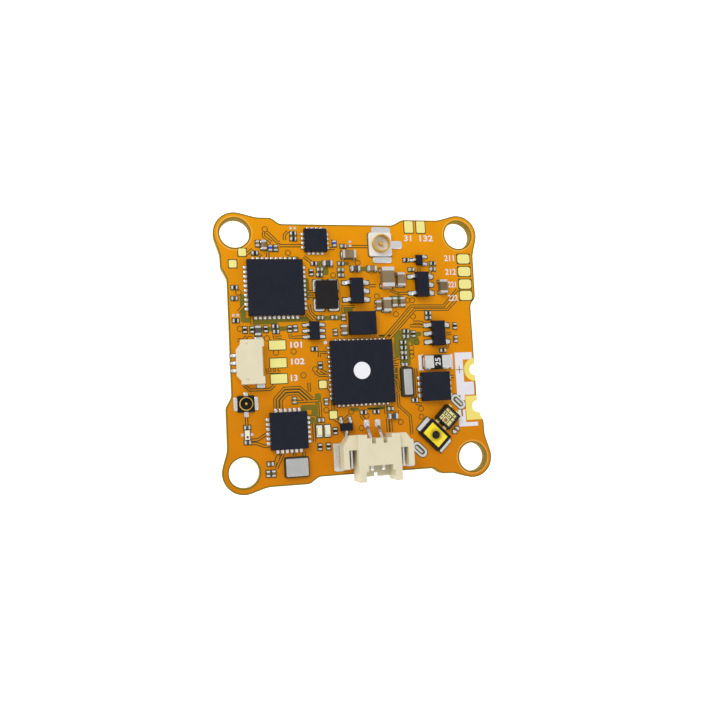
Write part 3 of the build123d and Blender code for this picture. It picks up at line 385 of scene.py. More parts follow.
for node, piece in nodes.items():
    piece.data.materials.clear()
    piece.data.materials.append(stock[finishOf.get(node, "tinPlate")].material)
print("CAD nodes painted")


# modelling helpers
def onlySelect(piece):
    bpy.ops.object.select_all(action="DESELECT")
    piece.select_set(True)
    bpy.context.view_layer.objects.active = piece


def settle():
    bpy.ops.object.transform_apply(location=True, rotation=True, scale=True)
    return bpy.context.object


def thicken(thick):
    # gives the flat faces in edit mode their thickness, upwards, and turns every face outwards
    bpy.ops.mesh.extrude_region_move(TRANSFORM_OT_translate={"value": (0, 0, thick * mm)})
    bpy.ops.mesh.select_all(action="SELECT")
    bpy.ops.mesh.normals_make_consistent(inside=False)
    bpy.ops.object.mode_set(mode="OBJECT")


def deleteWhere(piece, kind, chosen):
    # deletes the faces (kind "FACE") or the points (kind "VERT") of a mesh for which chosen() is true
    onlySelect(piece)
    bpy.ops.object.mode_set(mode="EDIT")
    bpy.ops.mesh.select_mode(type=kind)
    bpy.ops.mesh.select_all(action="DESELECT")
    bpy.ops.object.mode_set(mode="OBJECT")
    for part in piece.data.polygons if kind == "FACE" else piece.data.vertices:
        part.select = chosen(part)
    bpy.ops.object.mode_set(mode="EDIT")
    bpy.ops.mesh.delete(type=kind)
    bpy.ops.mesh.select_mode(type="VERT")
    bpy.ops.object.mode_set(mode="OBJECT")


def tile(x, y, width, depth, thick, radius=0.0, turn=0.0, base=0.0, segments=3):
    # a thin plate lying on the board, round at its corners where it has a radius, in millimetres and degrees
    bpy.ops.object.select_all(action="DESELECT")
    spot = (x * mm, y * mm, boardTop + base * mm)
    bpy.ops.mesh.primitive_plane_add(size=1, location=spot, rotation=(0, 0, math.radians(turn)))
    bpy.context.object.scale = (width * mm, depth * mm, 1)
    plate = settle()
    bpy.ops.object.mode_set(mode="EDIT")
    bpy.ops.mesh.select_all(action="SELECT")
    if radius:
        bpy.ops.mesh.bevel(offset=radius * mm, offset_type="OFFSET", segments=segments, affect="VERTICES")
    thicken(thick)
    return plate


def disc(x, y, outer, inner, thick, base=0.0, vertices=24):
    # a flat ring in millimetres, or a full disc when inner is 0
    bpy.ops.object.select_all(action="DESELECT")
    spot = (x * mm, y * mm, boardTop + base * mm)
    bpy.ops.mesh.primitive_circle_add(vertices=vertices, radius=outer * mm, fill_type="NGON", location=spot)
    plate = settle()
    bpy.ops.object.mode_set(mode="EDIT")
    bpy.ops.mesh.select_all(action="SELECT")
    if inner:
        bpy.ops.mesh.inset(thickness=(outer - inner) * mm, use_boundary=True)
        bpy.ops.mesh.delete(type="FACE")
        bpy.ops.mesh.select_all(action="SELECT")
    thicken(thick)
    return plate


def trail(points, width, height):
    # a rounded ridge of even width that follows a line of points across the board
    bpy.ops.object.select_all(action="DESELECT")
    bpy.ops.mesh.primitive_plane_add(size=mm, location=(points[0][0] * mm, points[0][1] * mm, 0))
    bpy.ops.object.mode_set(mode="EDIT")
    bpy.ops.mesh.select_all(action="SELECT")
    bpy.ops.mesh.merge(type="CENTER")
    for here, there in zip(points, points[1:]):
        step = ((there[0] - here[0]) * mm, (there[1] - here[1]) * mm, 0)
        bpy.ops.mesh.extrude_region_move(TRANSFORM_OT_translate={"value": step})
    bpy.ops.object.mode_set(mode="OBJECT")
    bpy.ops.object.convert(target="CURVE")
    line = bpy.context.object
    line.data.bevel_depth = width * mm / 2
    line.data.bevel_resolution = 1
    line.data.use_fill_caps = True
    bpy.ops.object.convert(target="MESH")
    line = bpy.context.object
    line.scale = (1, 1, 2 * height / width)
    line.location.z = boardTop
    return settle()


def duplicate(piece, matrix):
    # a copy with its own mesh, moved by the matrix
    copied = piece.copy()
    copied.data = piece.data.copy()
    copied.data.transform(matrix)
    bpy.context.scene.collection.objects.link(copied)
    return copied


def gather(pieces, name):
    # joins the pieces into one object of this name
    bpy.ops.object.select_all(action="DESELECT")
    for piece in pieces:
        piece.select_set(True)
    bpy.context.view_layer.objects.active = pieces[0]
    if len(pieces) > 1:
        bpy.ops.object.join()
    whole = bpy.context.object
    whole.name = name
    whole.data.name = name
    return whole


def finishPiece(piece, finish, body="board", smooth=None):
    # smooth is the angle in degrees under which an edge is shaded round
    piece.data.materials.clear()
    piece.data.materials.append(stock[finish].material)
    if smooth:
        onlySelect(piece)
        bpy.ops.object.shade_smooth_by_angle(angle=math.radians(smooth))
    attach(piece, body)
    print("made", piece.name, len(piece.data.polygons), "faces")


def islands(node, turn=0.0):
    # the boxes of a node's separate solids, measured in axes turned about Z
    mesh = nodes[node].data
    spin = Matrix.Rotation(math.radians(-turn), 3, "Z")
    spots = [spin @ v.co for v in mesh.vertices]
    keys = {}
    owner = []
    for spot in spots:
        key = tuple(round(part * 1e6) for part in spot)  # points a micrometre apart are one
        owner.append(keys.setdefault(key, len(keys)))
    boss = list(range(len(keys)))

    def top(index):
        while boss[index] != index:
            boss[index] = boss[boss[index]]
            index = boss[index]
        return index

    for face in mesh.polygons:
        first = top(owner[face.vertices[0]])
        for corner in face.vertices[1:]:
            boss[top(owner[corner])] = first
    groups = {}
    for index, spot in enumerate(spots):
        groups.setdefault(top(owner[index]), []).append(spot)
    boxes = []
    for members in groups.values():
        low = Vector(tuple(min(m[i] for m in members) for i in range(3)))
        high = Vector(tuple(max(m[i] for m in members) for i in range(3)))
        boxes.append((low, high))
    return boxes


print("helpers ready")

# the mask over bare laminate that stands round pads and parts, darkened with painted shade, in millimetres
bare = {
    "thick": 0.006, "radius": 0.1, "unevenness": 0.004,
    "contacts": 0.07, "boxes": 0.11, "leads": 0.13, "pads": 0.1,  # how far it stands out round each kind
    "slots": 0.1, "slotThick": 0.007,
}
chipContacts = [
    "main_processor_contacts", "video_transmitter_contacts", "rf_amplifier_contacts", "receiver_contacts",
    "power_switch_contacts",
]
outlines = []
loneTile = tile(0, 0, 1, 1, bare["thick"], bare["radius"])


def outline(low, high, grow, turn=0.0):
    # a patch a little larger than the box, each at its own height so that none share a plane
    middle = (low + high) / 2
    span = (high - low) / mm + Vector((2 * grow, 2 * grow, 0))
    spin = Matrix.Rotation(math.radians(turn), 4, "Z")
    lift = Matrix.Translation((middle.x, middle.y, random.uniform(0, bare["unevenness"]) * mm))
    outlines.append(duplicate(loneTile, spin @ lift @ Matrix.Diagonal((span.x, span.y, 1, 1))))


for node in chipContacts:
    for low, high in islands(node):
        outline(low, high, bare["contacts"])
for node in ("receiver_crystal_base", "processor_crystal_base", "video_antenna_base", "receiver_antenna_base",
             "current_shunt_terminals", "antenna_filter"):
    outline(*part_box(node), bare["boxes"])
for node in ("chip_end_caps", "bent_leads", "transmitter_crystal_pads", "status_lamp_bases", "signal_pads",
             "camera_socket_contacts"):
    for low, high in islands(node):
        if high.z > boardTop:
            outline(low, high, bare["pads"] if node == "signal_pads" else bare["leads"])
for node in ("button_terminals", "colour_led_body"):
    for low, high in islands(node, 45.0):
        outline(low, high, bare["pads"], 45.0)
for low, high in islands("usb_slot_plating", 45.0):
    if high.z > boardTop:
        middle = Matrix.Rotation(math.radians(45.0), 3, "Z") @ (low + high) / 2 / mm
        span = (high - low) / mm + Vector((2 * bare["slots"], 2 * bare["slots"], 0))
        ends = 0.49 * min(span.x, span.y)  # nearly half the width, so the ends are round
        outlines.append(tile(middle.x, middle.y, span.x, span.y, bare["slotThick"], ends, 45.0, segments=8))
bpy.data.objects.remove(loneTile)

# gaps left between the copper areas: (x, y, width, depth)
gap = {"thick": 0.006, "radius": 0.2, "unevenness": 0.003}
openGaps = [
    (-8.7, 3.3, 7.4, 0.55), (-12.2, 4.6, 0.6, 3.0), (4.75, 0.35, 0.9, 3.0), (5.5, -1.2, 1.3, 2.0),
    (-5.57, -7.05, 1.87, 2.15), (-0.85, 4.2, 1.3, 0.7), (-0.6, -6.75, 1.0, 0.4), (-3.0, 3.35, 3.0, 0.5),
    (-9.0, 2.3, 4.4, 0.5), (1.4, 8.8, 2.6, 0.5), (-0.4, 10.35, 1.9, 1.0), (4.9, 5.3, 1.7, 0.9),
    (-4.6, -5.4, 0.7, 1.2), (-3.3, 8.9, 1.2, 1.6), (-6.6, 10.0, 1.4, 0.4), (2.3, -6.7, 1.1, 0.4),
    (4.4, -3.4, 0.35, 2.2), (7.0, 1.35, 1.2, 0.5), (5.75, 1.2, 1.2, 1.5), (6.75, 0.6, 1.0, 1.0),
    (5.6, 0.0, 1.0, 1.2), (3.4, 1.25, 1.6, 0.3), (-5.2, 6.6, 0.5, 2.4), (-9.9, 3.05, 2.6, 0.5),
    (-3.35, 6.4, 0.4, 1.1), (2.0, -6.75, 2.4, 0.3), (5.3, -3.9, 0.3, 1.2), (10.9, 2.0, 0.5, 0.4),
    (-0.9, 9.4, 1.2, 0.4),
]
gapTiles = [
    tile(x, y, width, depth, gap["thick"] - random.uniform(0.0, gap["unevenness"]), gap["radius"])
    for x, y, width, depth in openGaps
]
finishPiece(gather(gapTiles, "bareGaps"), "bareMask")

# a small square of copper left on its own in one gap
copperIsland = {"place": (-5.65, -6.8), "side": 0.5, "thick": 0.014, "radius": 0.05}
side = copperIsland["side"]
square = tile(*copperIsland["place"], side, side, copperIsland["thick"], copperIsland["radius"])
square.name = "copperIsland"
finishPiece(square, "maskRaisedLit")
finishPiece(gather(outlines, "outlineGaps"), "gapShade")

# the strip along the board's edge that the copper stays clear of
edgeStrip = {"width": 0.14, "thick": 0.006}
rim = nodes["circuit_board"].copy()
rim.data = nodes["circuit_board"].data.copy()
for key in list(rim.keys()):
    del rim[key]
bpy.context.scene.collection.objects.link(rim)
rim.parent = None
onlySelect(rim)
bpy.ops.object.mode_set(mode="EDIT")
bpy.ops.mesh.select_all(action="SELECT")
bpy.ops.mesh.remove_doubles(threshold=1e-7)
bpy.ops.object.mode_set(mode="OBJECT")
nearTop = boardTop - 0.01 * mm  # only the board's upper face is kept
deleteWhere(rim, "FACE", lambda face: not (face.normal.z > 0.9 and face.center.z > nearTop))
bpy.ops.object.mode_set(mode="EDIT")
bpy.ops.mesh.select_mode(type="FACE")
bpy.ops.mesh.select_all(action="SELECT")
bpy.ops.mesh.inset(thickness=edgeStrip["width"] * mm, use_boundary=True, use_even_offset=False)
bpy.ops.mesh.delete(type="FACE")
bpy.ops.mesh.select_all(action="SELECT")
bpy.ops.mesh.extrude_region_move(TRANSFORM_OT_translate={"value": (0, 0, edgeStrip["thick"] * mm)})
bpy.ops.mesh.select_mode(type="VERT")
bpy.ops.object.mode_set(mode="OBJECT")
rim.name = "edgeStrip"
finishPiece(rim, "bareMask")

# vias: a thin ring round each, bare laminate darkened with painted shade, in millimetres
via = {"outer": 0.33, "inner": 0.25, "thick": 0.011}
viaPlaces = [
    (-12.6, 2.4), (-9.8, 1.3), (-11.6, 1.3), (-12.6, 6.3), (-9.5, 13.2), (-7.1, 10.6), (-2.2, 8.1),
    (0.65, 9.5), (4.75, 3.65), (6.75, 3.35), (2.65, 5.7), (6.2, 5.2), (6.75, 5.2), (7.0, 0.4),
    (-8.9, -0.25), (-7.0, -0.2), (-6.05, -2.8), (-4.75, -2.2), (-3.75, -6.65), (-1.0, -6.95), (0.7, -7.5),
    (0.05, -8.8), (4.55, -8.4), (7.0, -7.05), (7.0, -7.95), (6.3, -0.2), (6.3, -0.7), (6.3, -1.1),
]
oneRing = disc(0, 0, via["outer"], via["inner"], via["thick"])
rings = [duplicate(oneRing, Matrix.Translation((x * mm, y * mm, 0))) for x, y in viaPlaces]
bpy.data.objects.remove(oneRing)
finishPiece(gather(rings, "viaRings"), "gapShade")

# traces: an orange ridge painted lighter as a highlight, inside a gap of bare laminate darkened with painted
# shade, in millimetres
trace = {"width": 0.2, "gap": 0.085, "rise": 0.018, "gapRise": 0.0115}
traceLines = [
    [(3.2, 1.0), (6.6, 4.55), (10.5, 4.5), (12.3, 6.4)],
    [(3.8, 0.9), (7.0, 4.15), (10.95, 4.1), (12.1, 5.2)],
    [(6.3, 2.3), (7.7, 2.25)],
    [(-8.0, 11.4), (-5.5, 11.4)],
    [(-12.0, 5.0), (-12.7, 4.2)],
    [(-11.3, 3.6), (-11.3, 2.8)],
    [(-5.45, 3.8), (-4.8, 3.1)],
    [(-5.1, 6.3), (-4.5, 6.3)],
    [(-5.1, 5.8), (-4.5, 5.8)],
    [(-1.3, 3.9), (-1.3, 4.6), (0, 4.6)],
    [(-9.25, -6.3), (-9.25, -5.2), (-8.2, -4.1), (-6.5, -4.1), (-5.2, -5.35)],
    [(-8.95, -6.3), (-8.95, -5.3), (-8.1, -4.42), (-6.62, -4.42), (-5.5, -5.5)],
    [(-8.6, -6.3), (-8.6, -5.4), (-7.95, -4.74), (-6.75, -4.74), (-5.9, -5.6)],
    [(-5.5, -3.6), (-5.5, -4.6)],
    [(-12.4, -3.6), (-11.8, -4.15), (-9.7, -4.15), (-9.2, -3.7)],
    [(-7.5, -5.6), (-4.6, -5.6)],
    [(-4.4, -5.7), (-4.4, -7.4)],
    [(-5.2, -7.9), (-5.2, -10.0)],
    [(3.9, -3.0), (4.6, -3.0)],
    [(4.0, -3.5), (4.5, -3.8), (4.5, -4.7), (4.7, -5.0)],
    [(4.0, -5.0), (4.45, -5.4), (4.45, -6.6), (5.7, -7.8), (5.75, -9.8)],
    [(6.65, -2.5), (6.65, -6.0)],
    [(3.05, -7.9), (3.05, -9.4)],
    [(3.4, -7.9), (3.4, -9.4)],
    [(-12.3, -6.9), (-12.3, -7.9)],
    [(-11.9, -9.4), (-11.2, -9.4), (-10.2, -8.8)],
    [(-9.0, -11.0), (-9.3, -11.9)],
    [(-8.6, -11.0), (-9.4, -12.5)],
    [(-5.05, 4.9), (-4.9, 4.0), (-4.3, 3.4)],
    [(-9.65, 12.9), (-9.65, 12.4), (-8.8, 11.75)],
    [(-9.3, 12.9), (-8.5, 12.1), (-8.2, 11.75), (-7.9, 11.75)],
    [(-10.9, 11.0), (-11.5, 10.5), (-11.9, 10.5)],
    [(-5.4, 10.2), (-4.6, 9.6)],
    [(-2.7, 11.1), (-1.9, 11.1)],
    [(-0.4, 11.35), (0.9, 11.35), (1.9, 11.35)],
    [(-9.3, 10.6), (-9.3, 10.1)],
    [(-10.0, 10.5), (-10.4, 10.1)],
    [(-7.0, 13.0), (-7.4, 12.6), (-7.4, 12.0)],
    [(4.4, 7.2), (4.4, 6.3), (5.4, 5.9)],
    [(2.6, 6.9), (1.8, 6.9)],
    [(5.1, 6.0), (6.6, 6.0)],
    [(-11.9, 1.55), (-12.3, 1.2), (-12.9, 1.2)],
    [(-7.3, 1.7), (-7.3, 1.35), (-6.6, 1.35), (-5.6, 1.35)],
    [(-9.0, 1.6), (-9.0, 1.4), (-8.2, 1.4)],
    [(-4.2, -0.9), (-4.2, -0.4), (-3.4, -0.4)],
    [(-4.2, -2.3), (-3.5, -2.7)],
    [(-4.75, -2.5), (-4.3, -2.9), (-3.4, -2.9)],
    [(-9.9, -1.9), (-9.9, -2.35), (-8.5, -2.35)],
    [(-9.4, -1.9), (-9.4, -2.3)],
    [(-8.9, -1.9), (-8.9, -2.3)],
    [(-6.0, -7.3), (-5.0, -7.3), (-5.0, -7.6)],
    [(-3.0, -7.6), (-2.2, -8.1)],
    [(-3.4, -4.3), (-3.0, -4.9), (-3.0, -6.7)],
    [(-1.2, -7.3), (-1.9, -7.9)],
    [(0.05, -7.4), (0.4, -7.9)],
    [(4.2, -7.1), (4.2, -7.5)],
    [(2.9, -6.4), (2.9, -7.4)],
    [(7.2, -6.6), (6.4, -6.4)],
    [(4.0, -2.0), (4.7, -2.0)],
    [(4.0, -1.5), (4.8, -1.3)],
    [(7.2, -3.6), (6.7, -3.6), (6.7, -2.8)],
    [(10.6, -3.6), (11.2, -3.6)],
    [(8.3, 2.4), (7.4, 2.7), (6.7, 2.7)],
    [(10.6, 1.3), (11.2, 1.3)],
    [(10.6, 0.4), (10.6, -0.2), (10.2, -0.4)],
    [(-6.4, -11.4), (-6.4, -10.9)],
    [(-7.4, -11.3), (-7.4, -10.8)],
    [(-9.6, -12.3), (-9.3, -11.4), (-8.9, -10.9)],
    [(-9.9, -10.1), (-10.6, -10.1), (-11.4, -9.75), (-12.0, -9.75)],
    [(7.8, 8.5), (7.8, 8.9)],
    [(9.0, 8.1), (9.2, 8.6)],
]
channels = [trail(line, trace["width"] + 2 * trace["gap"], trace["gapRise"]) for line in traceLines]
finishPiece(gather(channels, "traceGaps"), "gapShade", smooth=40)
ridges = [trail(line, trace["width"], trace["rise"]) for line in traceLines]
finishPiece(gather(ridges, "traceRidges"), "maskRaisedLit", smooth=60)

# solder joints: (node, how far the mound spreads past each terminal, how high it stands)
jointRows = [
    ("chip_end_caps", 0.025, 0.09), ("bent_leads", 0.025, 0.072), ("main_processor_contacts", 0.0, 0.15),
    ("video_transmitter_contacts", 0.045, 0.15), ("rf_amplifier_contacts", 0.045, 0.15),
    ("receiver_contacts", 0.045, 0.15), ("power_switch_contacts", 0.045, 0.15),
    ("transmitter_crystal_pads", 0.05, 0.1), ("camera_socket_contacts", 0.08, 0.1),
    ("motor_socket_contacts", 0.08, 0.1),
]
# at the two ends of the shunt
shuntJoint = {"length": 0.95, "grow": 0.05, "rise": 0.16}
# at the antenna parts that stay this low
antennaJoint = {"below": 0.2, "grow": 0.05, "rise": 0.17}
# at one end of a contact that comes down this low: its +Y end, or its -Y end where the contact is short
tailJoint = {"below": 0.1, "length": 0.5, "grow": 0.06, "rise": 0.15, "shortContact": 2.0, "shortReach": 0.36}
mound = {"soft": 0.22, "sunk": 0.01}  # rounding as a share of its size, and how deep it is set in the board
bpy.ops.object.select_all(action="DESELECT")
bpy.ops.mesh.primitive_cube_add(size=1, location=(0, 0, 0.5))
lump = settle()
bpy.ops.object.mode_set(mode="EDIT")
bpy.ops.mesh.select_all(action="SELECT")
bpy.ops.mesh.bevel(offset=mound["soft"], segments=2, affect="EDGES")
bpy.ops.object.mode_set(mode="OBJECT")
lumps = []


def solderJoint(low, high, grow, rise):
    # a low rounded mound under one terminal, on whichever side of the board it is
    middle = (low + high) / 2
    span = high - low
    size = (span.x + 2 * grow * mm, span.y + 2 * grow * mm, rise * mm)
    sunk = mound["sunk"] * mm
    foot = boardTop - sunk if middle.z > boardFoot else boardFoot + sunk - rise * mm
    move = Matrix.Translation((middle.x, middle.y, foot))
    lumps.append(duplicate(lump, move @ Matrix.Diagonal(size + (1,))))


for node, grow, rise in jointRows:
    for low, high in islands(node):
        solderJoint(low, high, grow, rise)
low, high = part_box("current_shunt_terminals")
length = shuntJoint["length"] * mm
solderJoint(low, Vector((low.x + length, high.y, high.z)), shuntJoint["grow"], shuntJoint["rise"])
solderJoint(Vector((high.x - length, low.y, low.z)), high, shuntJoint["grow"], shuntJoint["rise"])
for node in ("video_antenna_shell", "video_antenna_pin", "receiver_antenna_shell"):
    for low, high in islands(node):
        if high.z < boardTop + antennaJoint["below"] * mm:
            solderJoint(low, high, antennaJoint["grow"], antennaJoint["rise"])
for low, high in islands("receiver_antenna_pin") + islands("accessory_socket_contacts"):
    if low.z < boardTop + tailJoint["below"] * mm:
        end = high.y
        if high.y - low.y < tailJoint["shortContact"] * mm:
            end = min(high.y, low.y + tailJoint["shortReach"] * mm)
        start = Vector((low.x, end - tailJoint["length"] * mm, low.z))
        solderJoint(start, Vector((high.x, end, low.z)), tailJoint["grow"], tailJoint["rise"])
bpy.data.objects.remove(lump)
finishPiece(gather(lumps, "solderJoints"), "solder", smooth=50)

# empty pads, blobs and edges of lands that carry solder: (x, y, width, depth)
tinThick = 0.03
looseTin = [
    (-6.68, 13.35, 0.25, 0.3), (-6.22, 13.35, 0.25, 0.3), (-0.1, 11.88, 0.3, 0.25), (-0.1, 11.42, 0.3, 0.25),
    (-13.22, 3.85, 0.25, 0.3), (-12.78, 3.85, 0.25, 0.3), (1.9, 1.45, 0.3, 0.12),
    (-2.6, -11.8, 1.2, 3.0), (5.4, -11.8, 1.0, 3.0), (0.65, -8.35, 0.62, 0.8), (1.9, -8.35, 0.62, 0.8),
    (-12.8, -8.8, 0.26, 0.3), (-11.8, -8.8, 0.26, 0.3),
]
tins = [tile(x, y, width, depth, tinThick, min(width, depth) / 4) for x, y, width, depth in looseTin]
finishPiece(gather(tins, "looseTin"), "solder", smooth=40)

# screen print, with the round corners of its small marks
ink = {"thick": 0.012, "base": 0.004, "radius": 0.06}


def inkTile(x0, x1, y0, y1, radius=0.0):
    across, along = abs(x1 - x0), abs(y1 - y0)
    return tile((x0 + x1) / 2, (y0 + y1) / 2, across, along, ink["thick"], radius, 0.0, ink["base"])


printed = [
    inkTile(11.4, 12.35, -0.9, -5.75), inkTile(12.351, 13.5, -0.9, -1.72),
    inkTile(12.351, 13.5, -4.28, -5.75), inkTile(11.8, 12.3, -5.751, -6.35),
    inkTile(11.4, 11.75, -7.4, -8.149), inkTile(11.95, 12.27, -7.4, -8.149),
    inkTile(11.4, 12.27, -8.15, -9.3), inkTile(12.271, 13.7, -8.85, -9.3),
    inkTile(7.05, 7.42, -1.05, -2.75, ink["radius"]), inkTile(10.92, 11.14, -1.05, -2.75, ink["radius"]),
    inkTile(7.43, 7.62, -0.98, -1.1), inkTile(7.43, 7.62, -2.66, -2.78),
]
finishPiece(gather(printed, "screenPrint"), "screenInk")

# the plus and minus signs left open in the print
signs = {
    "plus": (11.87, -2.85), "arm": 0.4, "minus": [(11.85, -7.4), (11.85, -8.05)],
    "width": 0.14, "rise": 0.024,
}
plusX, plusY = signs["plus"]
arm = signs["arm"]
signLines = [
    [(plusX - arm, plusY), (plusX + arm, plusY)],
    [(plusX, plusY - arm), (plusX, plusY + arm)],
    signs["minus"],
]
strokes = [trail(line, signs["width"], signs["rise"]) for line in signLines]
finishPiece(gather(strokes, "openSigns"), "bareMask", smooth=50)

# the dots by the first leg of two chips: (chip, place as shares of its half width and half depth, radius)
dotRows = [("rf_amplifier_chip", 1.02, 1.06, 0.16), ("main_processor", -1.12, 0.97, 0.2)]
cornerDots = []
for node, across, along, radius in dotRows:
    low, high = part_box(node)
    middle = (low + high) / 2 / mm
    reach = (high - low) / 2 / mm
    x, y = middle.x + across * reach.x, middle.y + along * reach.y
    cornerDots.append(disc(x, y, radius, 0, ink["thick"], base=0.02, vertices=20))
finishPiece(gather(cornerDots, "cornerDots"), "screenInk")

# numbers beside the pads: (what, x, y, height, how far it is widened)
numbers = [
    ("101", -6.68, 0.5, 0.66, 1.25), ("102", -6.68, -1.32, 0.66, 1.25), ("13", -7.12, -3.08, 0.66, 1.05),
    ("31", 6.75, 12.3, 0.7, 1.15), ("132", 8.8, 12.3, 0.7, 1.3),
    ("211", 11.6, 10.0, 0.7, 0.95), ("212", 11.6, 8.4, 0.7, 0.95), ("221", 11.74, 6.93, 0.7, 0.78),
    ("222", 11.66, 5.38, 0.7, 0.85),
]
typeface = {"sizeForHeight": 1.35, "bolder": 0.02, "base": 0.008}


def number(words, x, y, height, widen, base=typeface["base"], turn=0.0):
    bpy.ops.object.select_all(action="DESELECT")
    bpy.ops.object.text_add(location=(0, 0, 0))
    text = bpy.context.object
    text.data.body = words
    text.data.align_x = "CENTER"
    text.data.align_y = "CENTER"
    text.data.size = height * typeface["sizeForHeight"] * mm
    text.data.resolution_u = 3
    text.data.offset = typeface["bolder"] * mm
    text.data.extrude = ink["thick"] * mm / 2
    bpy.ops.object.convert(target="MESH")
    made = bpy.context.object
    made.scale = (widen, 1, 1)
    made.location = (x * mm, y * mm, boardTop + base * mm)
    made.rotation_euler.z = math.radians(turn)
    return settle()


def topOf(node):
    # how high a node stands over the board, in millimetres
    return (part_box(node)[1].z - boardTop) / mm


finishPiece(gather([number(*entry) for entry in numbers], "screenNumbers"), "screenInk")

# the shunt's value, printed across its coating
shuntValue = {"words": "25", "height": 0.62, "widen": 1.1, "sunk": 0.004}
low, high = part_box("current_shunt")
middle = (low + high) / 2 / mm
lie = topOf("current_shunt") - shuntValue["sunk"]
value = number(shuntValue["words"], middle.x, middle.y, shuntValue["height"], shuntValue["widen"], lie, 90.0)
value.name = "shuntNumber"
finishPiece(value, "screenInk")

# the dab of white paint on the processor
dab = {"place": (0.28, -2.57), "radius": 0.94, "thick": 0.02, "soft": 0.012}
dot = disc(*dab["place"], dab["radius"], 0, dab["thick"], topOf("main_processor"), 40)
onlySelect(dot)
dot.modifiers.new("soft", "BEVEL").width = dab["soft"] * mm
bpy.ops.object.modifier_apply(modifier="soft")
dot.name = "paintDot"
finishPiece(dot, "whitePaint", smooth=40)

# the red mark on the antenna filter
redMark = {"place": (-12.3, -9.05), "radius": 0.13, "thick": 0.012, "sunk": 0.004}
lie = topOf("antenna_filter") - redMark["sunk"]
spot = disc(*redMark["place"], redMark["radius"], 0, redMark["thick"], lie, 20)
spot.name = "filterMark"
finishPiece(spot, "redPaint")

# colour lamp: clear gel over its dies and bond pads
gel = {"place": (9.96, -8.14), "width": 1.66, "foot": 0.47, "thick": 0.22, "radius": 0.1, "turn": 45.0}
slab = tile(*gel["place"], gel["width"], gel["width"], gel["thick"], gel["radius"], gel["turn"], gel["foot"])
slab.name = "lampGel"
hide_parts("colour_led_fill")
finishPiece(slab, "clearResin")
# places along the lamp's own axes: (x, y, width, depth)
die = {"foot": 0.42, "thick": 0.03, "radius": 0.02}
lampSpots = {
    "lampDies": [(-0.42, -0.02, 0.4, 0.4), (0.6, 0.3, 0.14, 0.16)],
    "lampBonds": [
        (0.16, 0.5, 0.16, 0.2), (0.16, -0.06, 0.16, 0.2), (-0.42, 0.56, 0.16, 0.14), (0.6, -0.4, 0.14, 0.16),
    ],
}
lampX, lampY = gel["place"]
half = math.sqrt(0.5)
for name, finish in (("lampDies", "diePaint"), ("lampBonds", "blackResin")):
    chosen = []
    for x, y, width, depth in lampSpots[name]:
        place = (lampX + half * (x - y), lampY + half * (x + y))
        chosen.append(tile(*place, width, depth, die["thick"], die["radius"], gel["turn"], die["foot"]))
    finishPiece(gather(chosen, name), finish)

# the button's film, from the settings beside filmFinish
sizeX, sizeY = film["size"]
bpy.ops.object.select_all(action="DESELECT")
bpy.ops.mesh.primitive_grid_add(x_subdivisions=28, y_subdivisions=20, size=1)
sheet = bpy.context.object
sheet.scale = (sizeX * mm, sizeY * mm, 1)
sheet = settle()
for vertex in sheet.data.vertices:
    across = 2 * vertex.co.x / (sizeX * mm)
    along = 2 * vertex.co.y / (sizeY * mm)
    vertex.co.z = film["crown"] * mm * (1 - across ** 4) * (1 - along ** 4)
deleteWhere(sheet, "FACE", lambda face: face.center.xy.length < film["hole"] * mm)
# the hole's edge is pulled out to a true circle, clear of the nub
uses = {}
for face in sheet.data.polygons:
    for key in face.edge_keys:
        uses[key] = uses.get(key, 0) + 1
rimPoints = {index for key, count in uses.items() if count == 1 for index in key}
for index in rimPoints:
    spot = sheet.data.vertices[index].co
    if spot.xy.length < film["nearHole"] * mm:
        spot.xy = spot.xy.normalized() * film["hole"] * mm
sheet.modifiers.new("thick", "SOLIDIFY").thickness = film["thick"] * mm
bpy.ops.object.modifier_apply(modifier="thick")
sheet.location = (film["place"][0] * mm, film["place"][1] * mm, boardTop + film["foot"] * mm)
sheet.rotation_euler.z = math.radians(film["turn"])
sheet = settle()
sheet.name = "crownedFilm"
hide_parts("button_film")
finishPiece(sheet, "yellowFilm", smooth=60)

# the snap dome under the film, built in its raised shape; the real dome flattens as the nub goes down
dome = {"radius": 0.62, "rise": 0.24, "sheet": 0.03, "keep": 0.36}
low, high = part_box("button_dome")
curve = (dome["radius"] ** 2 + dome["rise"] ** 2) / (2 * dome["rise"])
top = Vector(((low.x + high.x) / 2, (low.y + high.y) / 2, high.z))
bpy.ops.object.select_all(action="DESELECT")
bpy.ops.mesh.primitive_uv_sphere_add(
    segments=32, ring_count=60, radius=curve * mm, location=(top.x, top.y, top.z - curve * mm),
)
cap = settle()
deleteWhere(cap, "VERT", lambda vertex: vertex.co.z < low.z)
cap.modifiers.new("sheet", "SOLIDIFY").thickness = dome["sheet"] * mm
bpy.ops.object.modifier_apply(modifier="sheet")
cap.name = "snapDome"
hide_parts("button_dome")
finishPiece(cap, "springSteel", smooth=60)
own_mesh(cap)

# round the mounting holes: a bare lip at all four, and a painted highlight ring at three
ring = {"outer": 1.885, "inner": 1.83, "thick": 0.011}
lip = {"outer": 1.69, "inner": 1.6, "thick": 0.01}
corner = 12.75
holes = [(x, y) for x in (-corner, corner) for y in (-corner, corner)]
glintedHoles = [(x, y) for x, y in holes if x > 0 or y > 0]
rings = [disc(x, y, ring["outer"], ring["inner"], ring["thick"], vertices=64) for x, y in glintedHoles]
finishPiece(gather(rings, "holeGlintRings"), "ringGlint")
lips = [disc(x, y, lip["outer"], lip["inner"], lip["thick"], vertices=64) for x, y in holes]
finishPiece(gather(lips, "holeLips"), "bareMask")

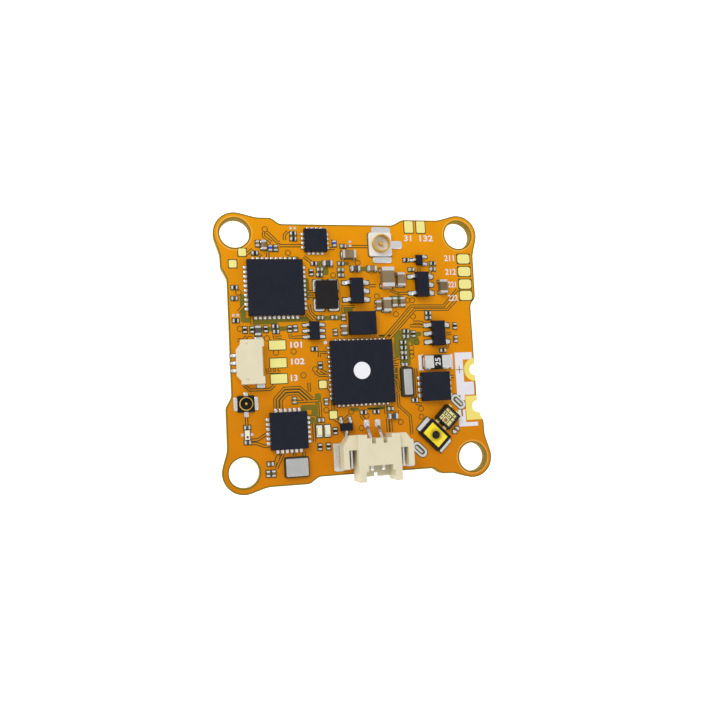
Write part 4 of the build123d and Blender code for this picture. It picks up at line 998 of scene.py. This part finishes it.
# floor, light and camera
studio = {
    "floor": 2.0, "glow": 0.6, "sky": 0.72,
    "keyLight": ((-0.14, 0.16, 0.22), 0.16, 0.34),  # place, size and power, in metres and watts
    "fillLight": ((0.2, -0.12, 0.2), 0.22, 0.1),
    "camera": (-18.37, -7.78, 75.38), "tilt": (5.577, -13.804, -3.287), "lens": 35.0,  # millimetres, degrees
}
bpy.ops.object.select_all(action="DESELECT")
bpy.ops.mesh.primitive_plane_add(size=studio["floor"], location=(0, 0, cadBox[0].z))
floor = bpy.context.object
floor.name = "floor"
paper = Finish("paper", Metallic=0.0)
fleck = paper.noise(6.0, 3.0)
paper.out("Base Color", paper.blend(fleck, paint(250, 250, 250), paint(255, 255, 255)))
paper.out("Roughness", 0.7 + fleck * 0.1)
paper.shader.inputs["Emission Color"].default_value = (1, 1, 1, 1)
paper.shader.inputs["Emission Strength"].default_value = studio["glow"]
floor.data.materials.append(paper.material)

world = bpy.data.worlds.new("room")
bpy.context.scene.world = world
world.use_nodes = True
world.node_tree.nodes["Background"].inputs["Color"].default_value = (1, 1, 1, 1)
world.node_tree.nodes["Background"].inputs["Strength"].default_value = studio["sky"]


def softLight(name, place, size, power):
    lamp = bpy.data.lights.new(name, "AREA")
    lamp.shape = "SQUARE"
    lamp.size = size
    lamp.energy = power
    made = bpy.data.objects.new(name, lamp)
    made.location = place
    made.rotation_euler = (-Vector(place)).to_track_quat("-Z", "Y").to_euler()  # aimed at the board's middle
    bpy.context.scene.collection.objects.link(made)


for name in ("keyLight", "fillLight"):
    softLight(name, *studio[name])

cameraData = bpy.data.cameras.new("camera")
cameraData.lens = studio["lens"]
cameraData.sensor_width = 36.0
cameraData.clip_start = 0.001
camera = bpy.data.objects.new("camera", cameraData)
camera.location = [part * mm for part in studio["camera"]]
camera.rotation_euler = [math.radians(angle) for angle in studio["tilt"]]
bpy.context.scene.collection.objects.link(camera)
bpy.context.scene.camera = camera
bpy.context.scene.view_settings.view_transform = "Standard"
print("light and camera set")
